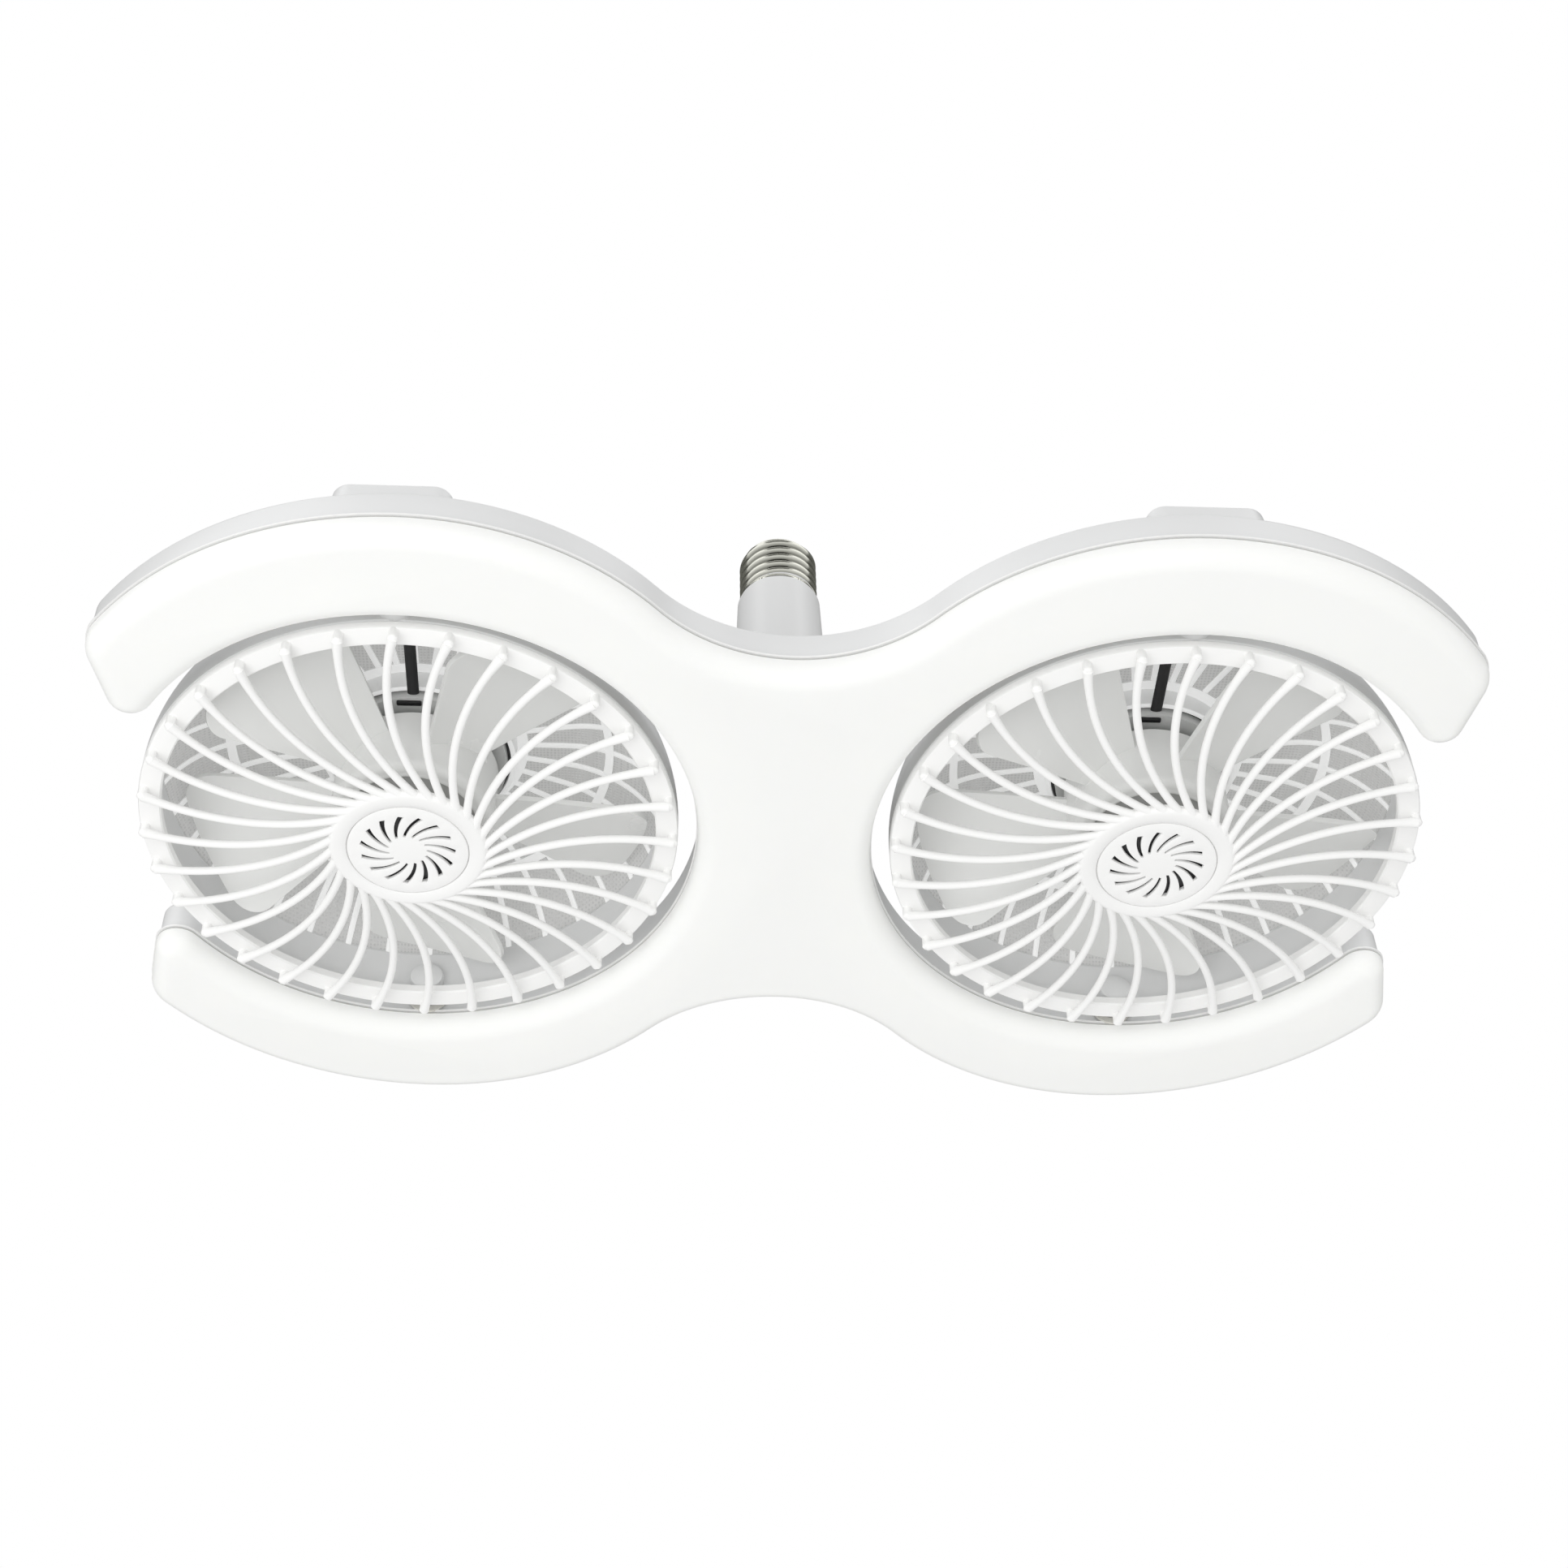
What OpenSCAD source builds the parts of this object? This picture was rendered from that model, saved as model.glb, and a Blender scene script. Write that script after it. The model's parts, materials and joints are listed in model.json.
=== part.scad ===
// Twin head ceiling fan with a lamp body, held up by its screw cap.
// Millimetres, +Z up. The origin is on the cap's axis at the cap's lower edge;
// the lamp body hangs below it and the two fan heads tilt between its arms.

/* [Lamp body] */
// Radius of the round opening that each head sits in
opening_r = 87.5; // [80:0.5:96]
// Half width of the web between the two openings
web_half_w = 26.5; // [24:0.5:30]
// Half width of the body at its waist
waist_y = 71; // [66:1:76]
// Width of an arm where it is widest
arm_w = 31.5; // [30:0.5:34]
// How much larger the arm's inner curve is than the opening
inner_lobe_extra = 12.5; // [10:0.5:16]
// How much larger the arm's outer curve is than the opening
outer_lobe_extra = 24.5; // [22:0.5:28]
// Height of the back shell's wall
shell_h = 12; // [11:0.5:14]
// Wall of the back shell
shell_wall = 2; // [1.6:0.1:2.4]
// Height of the diffuser
diffuser_h = 8; // [7:0.5:10]
// Wall of the diffuser
diffuser_wall = 1.5; // [1.2:0.1:1.8]
// Radius of the diffuser's rounded edge
diffuser_round = 6; // [4.5:0.5:6.5]
// Height of the clip rim that plugs the diffuser into the shell
clip_h = 2.4; // [1.6:0.2:3]

/* [Neck and cap] */
// Height of the neck from the body to the cap
neck_h = 96; // [90:1:120]
// Radius of the neck where it meets the body
neck_foot_r = 21.5; // [19:0.5:23]
// Radius of the neck where its slim upper part ends
neck_waist_r = 14.9; // [14:0.1:17]
// Length of the neck's slim upper part
neck_waist_h = 32; // [20:1:45]
// Radius of the neck under the cap
neck_top_r = 13.9; // [13.6:0.1:15]
// Wall of the neck
neck_wall = 2; // [1.5:0.1:2.5]
// Outer radius of the screw cap
cap_r = 13.1; // [12.8:0.05:13.3]
// Length of the cap's screw shell
cap_shell_h = 21; // [18:0.5:23]
// Length of the cap's tip beyond its screw shell
cap_tip_h = 6; // [5:0.5:7]

/* [Fan heads] */
// Gap between a head's rim and its opening
head_gap = 6.1; // [5.5:0.1:8]
// Width of the grille's ring
ring_w = 6; // [5:0.1:7]
// Thickness of the grille's ring
ring_t = 3; // [2.4:0.1:3.4]
// Height of the ring's front face above the diffuser's face
ring_z = 5.6; // [4:0.1:7]
// Number of swirl ribs in a grille
rib_count = 32; // [28:1:34]
// Radius of a rib's round section
rib_r = 1.25; // [1:0.05:1.4]
// How far a rib's bow departs from its chord
rib_bow = 6; // [4:0.5:8]
// Angle that a rib turns from the rim to the hub
rib_sweep = 20.5; // [16:0.5:26]
// How far a rib's end stands in front of the ring
rib_rise = 4.2; // [3.5:0.1:5]
// Radius of the grille's hub
hub_r = 23; // [21:0.5:25]
// How far the hub's face lies in front of the ring
hub_rise = 8.6; // [8:0.1:10]
// Radius of the slotted badge plate in the hub
plate_r = 17.6; // [16:0.1:19]
// Number of curved slots in the badge plate
slot_count = 15; // [12:1:18]
// Angle that a slot turns from its inner to its outer end
slot_sweep = 24; // [0:1:30]
// Depth of the rear shell behind the ring
rear_depth = 41; // [39:1:44]
// Radius of the rear shell's rounded shoulder
shoulder_r = 35; // [30:1:38]
// Wall of the rear shell
rear_wall = 2; // [1.6:0.1:2.4]
// Number of vents round the rear shell
vent_count = 36; // [28:1:40]
// Width of the bars between the vents
vent_bar = 2; // [1.8:0.1:3]

/* [Pivots] */
// Height of the tilt axis above the diffuser's face
pivot_z = 14.2; // [14:0.1:14.5]
// Radius of a trunnion
trunnion_r = 4.2; // [4:0.1:4.4]
// Radius of the lead's bore through a trunnion
lead_bore_r = 2.4; // [2:0.1:2.6]
// Wall of the bush round a trunnion
bush_wall = 1; // [0.8:0.1:1.2]
// Radius of the friction washer on a trunnion
washer_r = 6.8; // [6.5:0.1:6.9]
// Half length of a pivot cover at its foot
cover_x = 17.5; // [15:0.5:19]
// Height of a pivot cover above the shell
cover_h = 6.5; // [6:0.1:8]

/* [Rotor and motor] */
// Number of fan blades
blade_count = 5; // [3:1:7]
// How far the blade tips stay inside the head's rim
blade_gap = 9.4; // [8.5:0.1:12]
// Thickness of a blade
blade_t = 1.6; // [1.2:0.1:2]
// Pitch of a blade
blade_pitch = 18; // [14:1:22]
// Outer radius of the rotor's hub
rotor_hub_r = 25; // [24:0.5:26]
// Radius of the motor's shaft
shaft_r = 1.5; // [1.2:0.1:2]
// Radius of the stator
stator_r = 18.5; // [17:0.5:19]

/* [Clearances] */
// Running clearance of trunnions and shafts, on the radius
run_gap = 0.05; // [0.03:0.01:0.08]
// Gap between fixed pieces that plug together
plug_gap = 0.2; // [0.1:0.05:0.3]
// Width of the shadow gap between shell and diffuser
shadow_gap = 0.4; // [0.3:0.1:0.6]

/* [Hidden] */
$fn = 96;
eps = 0.01;

white = [0.93, 0.93, 0.92];
opal = [0.97, 0.97, 0.95];
smoke = [0.78, 0.78, 0.77];
steel = [0.7, 0.7, 0.72];
nickel = [0.62, 0.62, 0.55];
black = [0.08, 0.08, 0.08];
board_green = [0.1, 0.35, 0.2];
copper = [0.72, 0.42, 0.2];

// Heights, from the diffuser's face up
body_top = diffuser_h + shell_h;
body_drop = neck_h + body_top;
cap_h = cap_shell_h + cap_tip_h;
ring_back_z = ring_z + ring_t;
hub_face_z = ring_z - hub_rise;
hub_t = 3;
rear_z = ring_z + rear_depth;

// Plan of the lamp body, one quarter; the rest is mirrored
head_x = opening_r + web_half_w;
rim_r = opening_r - head_gap;
arm_y = opening_r + arm_w;
inner_lobe_r = opening_r + inner_lobe_extra;
outer_lobe_r = opening_r + outer_lobe_extra;
lobe_x = head_x - 2;
inner_c = [lobe_x, arm_y - inner_lobe_r];
outer_c = [lobe_x, arm_y - outer_lobe_r];
// The waist's hollow arc touches the arm's inner arc
waist_rise = waist_y - inner_c[1];
waist_r = (lobe_x * lobe_x + waist_rise * waist_rise - inner_lobe_r * inner_lobe_r)
    / (2 * (inner_lobe_r - waist_rise));
waist_c = [0, waist_y + waist_r];
opening_c = [head_x, 0];
tip_r = 12;
tip_turn = 39.6;
tip_c = outer_c + (outer_lobe_r - tip_r) * [cos(tip_turn), sin(tip_turn)];
mouth_r = 7;
mouth_turn = 35.6;
mouth_c = opening_c + (opening_r + mouth_r) * [cos(mouth_turn), sin(mouth_turn)];

function turn_of(v) = atan2(v[1], v[0]);
function arc(c, r, from, to, steps, skip = 0) =
    [for (i = [skip:steps]) c + r * [cos(from + (to - from) * i / steps),
                                     sin(from + (to - from) * i / steps)]];

// The end of an arm is one straight edge that touches both corner arcs
end_v = tip_c - mouth_c;
end_turn = turn_of(end_v) - 90 - asin((tip_r - mouth_r) / norm(end_v));
lobe_turn = turn_of(waist_c - inner_c);

// Points of the quarter outline, drawn in by d
function quarter(d) = concat(
    arc(waist_c, waist_r + d, -90, lobe_turn - 180, 8),
    arc(inner_c, inner_lobe_r - d, lobe_turn, 90, 8, 1),
    arc(outer_c, outer_lobe_r - d, 90, tip_turn, 9, 1),
    arc(tip_c, tip_r - d, tip_turn, end_turn, 4, 1),
    arc(mouth_c, mouth_r - d, end_turn, mouth_turn - 180, 7),
    arc(opening_c, opening_r + d, mouth_turn, 180, 24, 1));
function mirror_x(p) = [for (q = p) [-q[0], q[1]]];
function mirror_y(p) = [for (q = p) [q[0], -q[1]]];
function inner_part(p, first, last) = [for (i = [first:last]) p[i]];
function backwards(p) = [for (i = [len(p) - 1:-1:0]) p[i]];
function outline(d) =
    let (q = quarter(d), n = len(q), open_q = inner_part(q, 1, n - 1), mid_q = inner_part(q, 1, n - 2))
    concat([q[0]], mid_q, backwards(mirror_y(open_q)), [mirror_y(q)[0]],
           mirror_x(mirror_y(mid_q)), backwards(mirror_x(open_q)));

// Flat ends are strips between the outer and the inner edge of each quarter, round a middle diamond
corners = len(quarter(0)) - 1;
function at_quarter(t, i) = [i, 2 * corners - i, 2 * corners + i, (4 * corners - i) % (4 * corners)][t];
function strip(t, i) = [for (c = [[i, i + 1, corners - 1 - i], [i, corners - 1 - i, corners - i]])
    [for (m = [0:2]) at_quarter(t, c[t % 2 == 0 ? m : 2 - m])]];
flat_end = concat([[0, corners, 3 * corners], [corners, 2 * corners, 3 * corners]],
    [for (t = [0:3]) for (i = [0:(corners - 3) / 2]) for (f = strip(t, i)) f]);

// A solid through closed outlines; each level is [drawn in by, height], and the first faces up
module outline_loft(levels) {
    n = 4 * corners;
    last = len(levels) - 1;
    points = [for (l = levels) for (p = outline(l[0])) [p[0], p[1], l[1]]];
    sides = [for (j = [0:last - 1]) for (i = [0:n - 1])
        [j * n + i, (j + 1) * n + i, (j + 1) * n + (i + 1) % n, j * n + (i + 1) % n]];
    lower_end = [for (f = flat_end) [for (m = [2:-1:0]) last * n + f[m]]];
    polyhedron(points, concat(flat_end, sides, lower_end));
}

// Body parts are drawn from the diffuser's face up, then dropped into place
module on_body() translate([0, 0, -body_drop]) children();
module on_head(side) translate([side * head_x, 0, -body_drop]) children();
module ring(outer, inner, z0, z1) translate([0, 0, z0]) difference() {
    cylinder(h = z1 - z0, r = outer);
    translate([0, 0, -1]) cylinder(h = z1 - z0 + 2, r = inner);
}
// A cylinder along Y on the tilt axis; side is -1 near, 1 far
module pivot_rod(side, y0, y1, r)
    translate([0, side > 0 ? y0 : -y1, pivot_z]) rotate([-90, 0, 0]) cylinder(h = y1 - y0, r = r);

// Pivot places along Y
boss_out_y = opening_r - 3.5;
boss_in_y = rim_r - 4.9;
bush_r = trunnion_r + run_gap + bush_wall;
bush_flange_t = 0.8;
bush_flange_r = bush_r + 1.2;
boss_r = trunnion_r + 1.3;
seat_gap = 0.02;
bush_seat_y = sqrt(opening_r * opening_r - bush_flange_r * bush_flange_r) - 0.05;
block_y = opening_r + 11;
washer_y = block_y + 0.3;
washer_t = 1.2;
nut_t = 4;
trunnion_end_y = washer_y + washer_t + nut_t + 1;

// ---- Lamp body ----
post_r = 2.6;
post_hole_r = 1;
board_t = 1.2;
board_z = diffuser_h - 2.2;
board_back_z = board_z + board_t;
board_in_r = opening_r + 4.5;
board_w = 14;
board_mid_r = board_in_r + board_w / 2;
board_turns = [60, 120, 180, 240, 300];
board_mouth_turn = 41;
led_turns = [for (i = [0:17]) 48 + 15.5 * i];
block_x = 9;

module pivot_block(side)
    translate([-block_x, side > 0 ? opening_r + 0.6 : -block_y, diffuser_h + shadow_gap])
        cube([2 * block_x, block_y - opening_r - 0.6, shell_h - shadow_gap - eps]);

// The washer and nut rise through the top of the arm, under the cover
module washer_slot(side) {
    w = washer_r + 1;
    end_y = trunnion_end_y + 1;
    translate([-w, side > 0 ? block_y : -end_y, diffuser_h + 1]) cube([2 * w, end_y - block_y, shell_h + 5]);
}

// Where the boards are screwed down, counted from each arm's mouth
module board_places(side) for (turn = board_turns)
    rotate([0, 0, turn + (side > 0 ? 0 : 180)]) translate([board_mid_r, 0, 0]) children();

module housing() color(white) on_body() difference() {
    union() {
        outline_loft([[1.7, body_top], [0.5, body_top - 0.5], [0, body_top - 1.8],
            [0, diffuser_h + 1.2], [-0.5, diffuser_h + 0.9], [-0.5, diffuser_h + shadow_gap],
            [shell_wall, diffuser_h + shadow_gap], [shell_wall, body_top - shell_wall]]);
        for (s = [-1, 1]) translate([s * head_x, 0, 0]) {
            pivot_block(-1);
            pivot_block(1);
            board_places(s) translate([0, 0, board_back_z])
                cylinder(h = body_top - shell_wall - board_back_z + eps, r = post_r, $fn = 32);
        }
    }
    for (s = [-1, 1]) translate([s * head_x, 0, 0]) {
        for (side = [-1, 1]) {
            pivot_rod(side, opening_r - 6, block_y + 1, bush_r);
            pivot_rod(side, opening_r - 6, bush_seat_y, bush_flange_r + 0.1);
            washer_slot(side);
        }
        board_places(s) translate([0, 0, board_z]) cylinder(h = 8, r = post_hole_r, $fn = 24);
    }
    translate([0, 0, body_top - 5]) cylinder(h = 10, r = foot_bore_r);
    neck_screw_places() translate([0, 0, body_top - 5]) cylinder(h = 10, r = neck_screw_r);
}

// The clip rim is notched where the pivot blocks stand
module diffuser() color(opal) on_body() difference() {
    outline_loft([
        for (t = [0:45:45]) [diffuser_wall + (diffuser_round - 1) * (1 - sin(t)),
                             diffuser_wall + (diffuser_round - 1) * (1 - cos(t))],
        [shell_wall + plug_gap + 1.2, diffuser_h + clip_h],
        [shell_wall + plug_gap, diffuser_h + clip_h], [shell_wall + plug_gap, diffuser_h],
        for (t = [90:-22.5:0]) [diffuser_round * (1 - sin(t)), diffuser_round * (1 - cos(t))]]);
    for (s = [-1, 1]) for (side = [-1, 1])
        translate([s * head_x - block_x - 0.5, side * (opening_r + block_y) / 2 - 6, diffuser_h])
            cube([2 * block_x + 1, 12, clip_h + 1]);
}

module led_board(side) color(white) on_head(side) rotate([0, 0, side > 0 ? 0 : 180])
    translate([0, 0, board_z]) linear_extrude(board_t) difference() {
        circle(board_in_r + board_w);
        circle(board_in_r);
        polygon([[0, 0], 300 * [cos(board_mouth_turn), -sin(board_mouth_turn)],
                 300 * [cos(board_mouth_turn), sin(board_mouth_turn)]]);
        for (turn = board_turns) rotate(turn) translate([board_mid_r, 0]) circle(post_hole_r + 0.2);
    }

module leds(side) color(opal) on_head(side) rotate([0, 0, side > 0 ? 0 : 180])
    for (turn = led_turns) rotate([0, 0, turn]) translate([board_mid_r - 1.75, -1.4, board_z - 0.8])
        cube([3.5, 2.8, 0.8]);

module board_screws() color(steel) on_body() for (s = [-1, 1]) translate([s * head_x, 0, 0])
    board_places(s) {
        translate([0, 0, board_z - 1]) cylinder(h = 1, r = 2, $fn = 32);
        translate([0, 0, board_z - 1]) cylinder(h = 6, r = post_hole_r - 0.02, $fn = 24);
    }

// ---- Neck and cap ----
foot_bore_r = neck_foot_r - 8;
foot_t = 2.4;
neck_screw_r = 1.5;
neck_screw_pcd = neck_foot_r * 2 - 9;
collar_h = 6;
collar_r = cap_r - 0.9;

neck_bore_top_z = -3;
neck_bore_foot_z = foot_t + 4 - neck_h;

module neck_screw_places() for (turn = [45:90:315])
    rotate([0, 0, turn]) translate([neck_screw_pcd / 2, 0, 0]) children();

// The neck stands on the body and plugs into the cap's shell
module neck() color(white) difference() {
    rotate_extrude() polygon([
        [foot_bore_r, -neck_h], [neck_foot_r + 1, -neck_h], [neck_foot_r + 1, 1.5 - neck_h],
        [neck_foot_r, foot_t - neck_h], [neck_waist_r, -neck_waist_h],
        [neck_top_r, -1.2], [neck_top_r - 0.4, 0],
        [collar_r, 0], [collar_r, collar_h], [collar_r - neck_wall, collar_h],
        [collar_r - neck_wall, neck_bore_top_z], [neck_waist_r - neck_wall, -neck_waist_h],
        [neck_foot_r - 7, neck_bore_foot_z],
        [foot_bore_r, neck_bore_foot_z]]);
    neck_screw_places() translate([0, 0, -neck_h - 1]) cylinder(h = 5, r = neck_screw_r - 0.3);
}

module neck_screws() color(steel) neck_screw_places() {
    translate([0, 0, -neck_h - shell_wall - 1.6]) cylinder(h = 1.6, r = 2.8, $fn = 32);
    translate([0, 0, -neck_h - shell_wall - 0.1]) cylinder(h = shell_wall + 4, r = neck_screw_r - 0.32);
}

// The driver board slides up the tapered bore until its top corners touch
driver_h = 66;
driver_z = neck_bore_foot_z + 1;
driver_top = (driver_z + driver_h + neck_waist_h) / (neck_bore_top_z + neck_waist_h);
driver_half = (neck_waist_r - neck_wall) * (1 - driver_top) + (collar_r - neck_wall) * driver_top - 0.25;
module driver_board() color(board_green) translate([-driver_half, -driver_t / 2, driver_z])
    cube([2 * driver_half, driver_t, driver_h]);

driver_t = 1.6;
capacitor_r = 5;
capacitor_h = 7;
coil_box = [10, 6, 13];
chip_box = [12, 3, 6];
module driver_parts() color(black) {
    for (z = [driver_h * 0.12, driver_h * 0.67]) translate([0, driver_t / 2, driver_z + z])
        rotate([-90, 0, 0]) cylinder(h = capacitor_h, r = capacitor_r, $fn = 40);
    translate([-coil_box[0] / 2, -driver_t / 2 - coil_box[1], driver_z + driver_h * 0.3]) cube(coil_box);
    translate([-chip_box[0] / 2, -driver_t / 2 - chip_box[1], driver_z + driver_h * 0.64]) cube(chip_box);
}

module cap_shell() color(nickel) difference() {
    rotate_extrude() polygon([[collar_r + 0.05, 0], [cap_r, 0], [cap_r, cap_shell_h],
        [cap_r - 1.6, cap_shell_h + 1.6], [7.4, cap_shell_h + 2.6], [7.4, cap_shell_h + 2.2],
        [cap_r - 2, cap_shell_h + 1], [cap_r - 0.6, cap_shell_h - 0.6], [cap_r - 0.6, collar_h + 0.6],
        [collar_r + 0.05, collar_h + 0.6]]);
}

module cap_insulator() color(black) rotate_extrude() polygon([[2, cap_shell_h], [7.4, cap_shell_h],
    [7.4, cap_shell_h + 2.6], [5.4, cap_h - 1.2], [2, cap_h - 1.2]]);

module cap_contact() color(steel) {
    translate([0, 0, cap_shell_h - 1]) cylinder(h = cap_h - 1.2 - cap_shell_h + 1, r = 2);
    translate([0, 0, cap_h - 1.2]) cylinder(h = 1.2, r = 4.6);
}

// ---- Pivots in the arms ----
// The cover is a hollow box with rounded corners and a drawn-in top
cover_in_y = opening_r + 1.6;
cover_out_y = arm_y - 2.2;
cover_round = 5;
module cover_form(grow, z0, z1, draw_in) {
    r = cover_round + grow;
    for (z = [[z0, 0], [z1 - 1.2, draw_in - 1], [z1, draw_in]])
        translate([0, 0, z[0]]) linear_extrude(eps) for (x = [-1, 1]) for (y = [cover_in_y, cover_out_y])
            translate([x * (cover_x - cover_round), y + (y == cover_in_y ? 1 : -1) * cover_round])
                circle(r - z[1], $fn = 32);
}
module pivot_cover(side_x, side_y) color(white) on_head(side_x) mirror([0, side_y > 0 ? 0 : 1, 0])
    difference() {
        hull() cover_form(0, body_top, body_top + cover_h, 2);
        hull() cover_form(-1.6, body_top - 1, body_top + cover_h - 1.5, 1.4);
    }

module pivot_bushes() color(steel) on_body() for (s = [-1, 1]) translate([s * head_x, 0, 0])
    for (side = [-1, 1]) difference() {
        union() {
            pivot_rod(side, bush_seat_y - bush_flange_t, block_y, bush_r);
            pivot_rod(side, bush_seat_y - bush_flange_t, bush_seat_y, bush_flange_r);
        }
        pivot_rod(side, opening_r - 5, block_y + 1, trunnion_r + run_gap);
    }

// ---- Fan heads ----
lip_r = rim_r - rear_wall - plug_gap;
plate_z = hub_face_z + 0.15;
plate_t = 1.2;
groove_w = 0.6;
// One rib: a round rod on an arc from the rim to the hub, on a nub that stands on the ring
nub_r = rib_r + 0.45;
rib_start = [rim_r - nub_r - 0.1, 0, ring_z - rib_rise + rib_r];
rib_end_r = hub_r - 1.5;
rib_end = [rib_end_r * cos(rib_sweep), rib_end_r * sin(rib_sweep), hub_face_z + rib_r + 0.15];
rib_v = rib_end - rib_start;
rib_flat = norm([rib_v[0], rib_v[1]]);
rib_len = norm(rib_v);
rib_arc_r = (rib_len * rib_len / 4 + rib_bow * rib_bow) / (2 * rib_bow);
rib_half_turn = asin(rib_len / 2 / rib_arc_r);
module rib() {
    translate(rib_start) rotate([0, 0, turn_of(rib_v)]) rotate([0, -atan2(rib_v[2], rib_flat), 0])
        translate([rib_len / 2, -(rib_arc_r - rib_bow), 0]) rotate([0, 0, 90 - rib_half_turn])
            rotate_extrude(angle = 2 * rib_half_turn) translate([rib_arc_r, 0]) circle(rib_r, $fn = 24);
    translate([rib_start[0], 0, rib_start[2] - rib_r + 0.3])
        cylinder(h = ring_z + 1.3 - rib_start[2] + rib_r, r = nub_r, $fn = 24);
}

module grille(side) color(white) on_head(side) {
    ring(rim_r, rim_r - ring_w, ring_z, ring_back_z);
    // The plug rim is notched round the pivot bosses
    difference() {
        ring(lip_r, lip_r - 1.4, ring_back_z - 1, ring_back_z + 3);
        translate([-boss_r - 0.5, -rim_r, ring_back_z]) cube([2 * boss_r + 1, 2 * rim_r, 4]);
    }
    for (i = [0:rib_count - 1]) rotate([0, 0, 360 * i / rib_count]) rib();
    // The hub holds the slotted plate over a hollow
    rotate_extrude() polygon([[0, plate_z + plate_t], [slot_in_r - 1.5, plate_z + plate_t],
        [slot_in_r - 1.5, plate_z + plate_t + 0.8], [slot_out_r + 1, plate_z + plate_t + 0.8],
        [slot_out_r + 1, plate_z + plate_t], [plate_r + groove_w, plate_z + plate_t],
        [plate_r + groove_w, hub_face_z], [hub_r - 0.8, hub_face_z], [hub_r, hub_face_z + 0.8],
        [hub_r, hub_face_z + hub_t], [0, hub_face_z + hub_t]]);
}

// A slot of the plate turns against the ribs, and widens towards its outer end
slot_in_r = 5.4;
slot_out_r = 13.9;
slot_arc_r = 14;
slot_bow = 0.8;
slot_w = 1.1;
slot_flare = 1.2;
slot_start = [slot_in_r, 0];
slot_end = slot_out_r * [cos(slot_sweep), sin(slot_sweep)];
module plate_slot() translate((slot_start + slot_end) / 2) rotate(turn_of(slot_end - slot_start))
    intersection() {
        translate([0, slot_arc_r - slot_bow]) difference() {
            circle(slot_arc_r + slot_w / 2, $fn = 64);
            translate([-slot_flare, 0]) circle(slot_arc_r - slot_w / 2, $fn = 64);
        }
        square([norm(slot_end - slot_start), 8], center = true);
    }

module badge_plate(side) color(white) on_head(side) translate([0, 0, plate_z])
    linear_extrude(plate_t) difference() {
        circle(plate_r);
        for (i = [0:slot_count - 1]) rotate(360 * i / slot_count) plate_slot();
    }

// Rear shell: rim, rounded shoulder and a flat back with a motor seat
seat_r = 28.6;
rim_top_z = rear_z - shoulder_r;
vent_in_r = seat_r + 5;
vent_mid_r = rim_r - 23.4;
vent_out_r = rim_r - 3.6;
vent_ring_w = 2.6;
// Half section of a dome that is drawn in by d
function dome_section(d) = let (foot_z = ring_back_z - (d > 0 ? 1 : 0))
    concat([[0, foot_z], [rim_r - d, foot_z]],
           arc([rim_r - shoulder_r, rim_top_z], shoulder_r - d, 0, 90, 7), [[0, rear_z - d]]);

// A vent is a wedge between two straight bars
module vent(from_r, to_r) {
    half = 180 / vent_count;
    from_y = from_r * tan(half) - vent_bar / 2 / cos(half);
    to_y = to_r * tan(half) - vent_bar / 2 / cos(half);
    polygon([[from_r, from_y], [to_r, to_y], [to_r, -to_y], [from_r, -from_y]]);
}

module rear_shell(side) color(white) on_head(side) difference() {
    union() {
        difference() {
            rotate_extrude() polygon(dome_section(0));
            rotate_extrude() polygon(dome_section(rear_wall));
        }
        ring(seat_r + 1.6, seat_r, rear_z - 9, rear_z - 1);
        for (s = [-1, 1]) pivot_rod(s, boss_in_y, boss_out_y, boss_r);
    }
    translate([0, 0, rim_top_z + 1]) linear_extrude(shoulder_r + 5)
        for (i = [0:vent_count - 1]) rotate(360 * (i + 0.5) / vent_count) {
            vent(vent_in_r, vent_mid_r);
            vent(vent_mid_r + vent_ring_w, vent_out_r);
        }
    for (s = [-1, 1]) pivot_rod(s, boss_in_y - 1, boss_out_y + 1, trunnion_r + seat_gap);
    motor_screw_places() translate([0, 0, rear_z - 5]) cylinder(h = 8, r = motor_screw_r, $fn = 24);
}

// The near trunnion is hollow for the lead; both turn in the arms' bushes
module trunnions(side) color(steel) on_head(side) {
    difference() {
        pivot_rod(-1, boss_in_y, trunnion_end_y, trunnion_r);
        pivot_rod(-1, boss_in_y - 1, trunnion_end_y + 1, lead_bore_r);
    }
    pivot_rod(1, boss_in_y, trunnion_end_y, trunnion_r);
}

module friction_washers(side) color(steel) on_head(side) for (s = [-1, 1]) difference() {
    pivot_rod(s, washer_y, washer_y + washer_t, washer_r);
    pivot_rod(s, washer_y - 1, washer_y + washer_t + 1, trunnion_r);
}

module trunnion_nuts(side) color(steel) on_head(side) for (s = [-1, 1]) difference() {
    translate([0, s * (washer_y + washer_t + nut_t / 2), pivot_z]) rotate([90, 0, 0])
        cylinder(h = nut_t, r = washer_r - 0.4, center = true, $fn = 6);
    pivot_rod(s, washer_y + washer_t - 1, washer_y + washer_t + nut_t + 1, trunnion_r);
}

// ---- Motor: fixed half ----
motor_r = 27.4;
motor_screw_r = 1.3;
motor_screw_pcd = 46;
base_t = 3;
base_h = 9;
base_front_z = rear_z - rear_wall - base_h;
tube_r = 3.6;
tube_front_z = ring_z + 8;
bearing_r = 2.8;
bearing_t = 3;
motor_board_t = 1.2;
motor_board_z = base_front_z - 3;
stator_h = 10;
stator_z = motor_board_z - 1.4 - stator_h;

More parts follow.
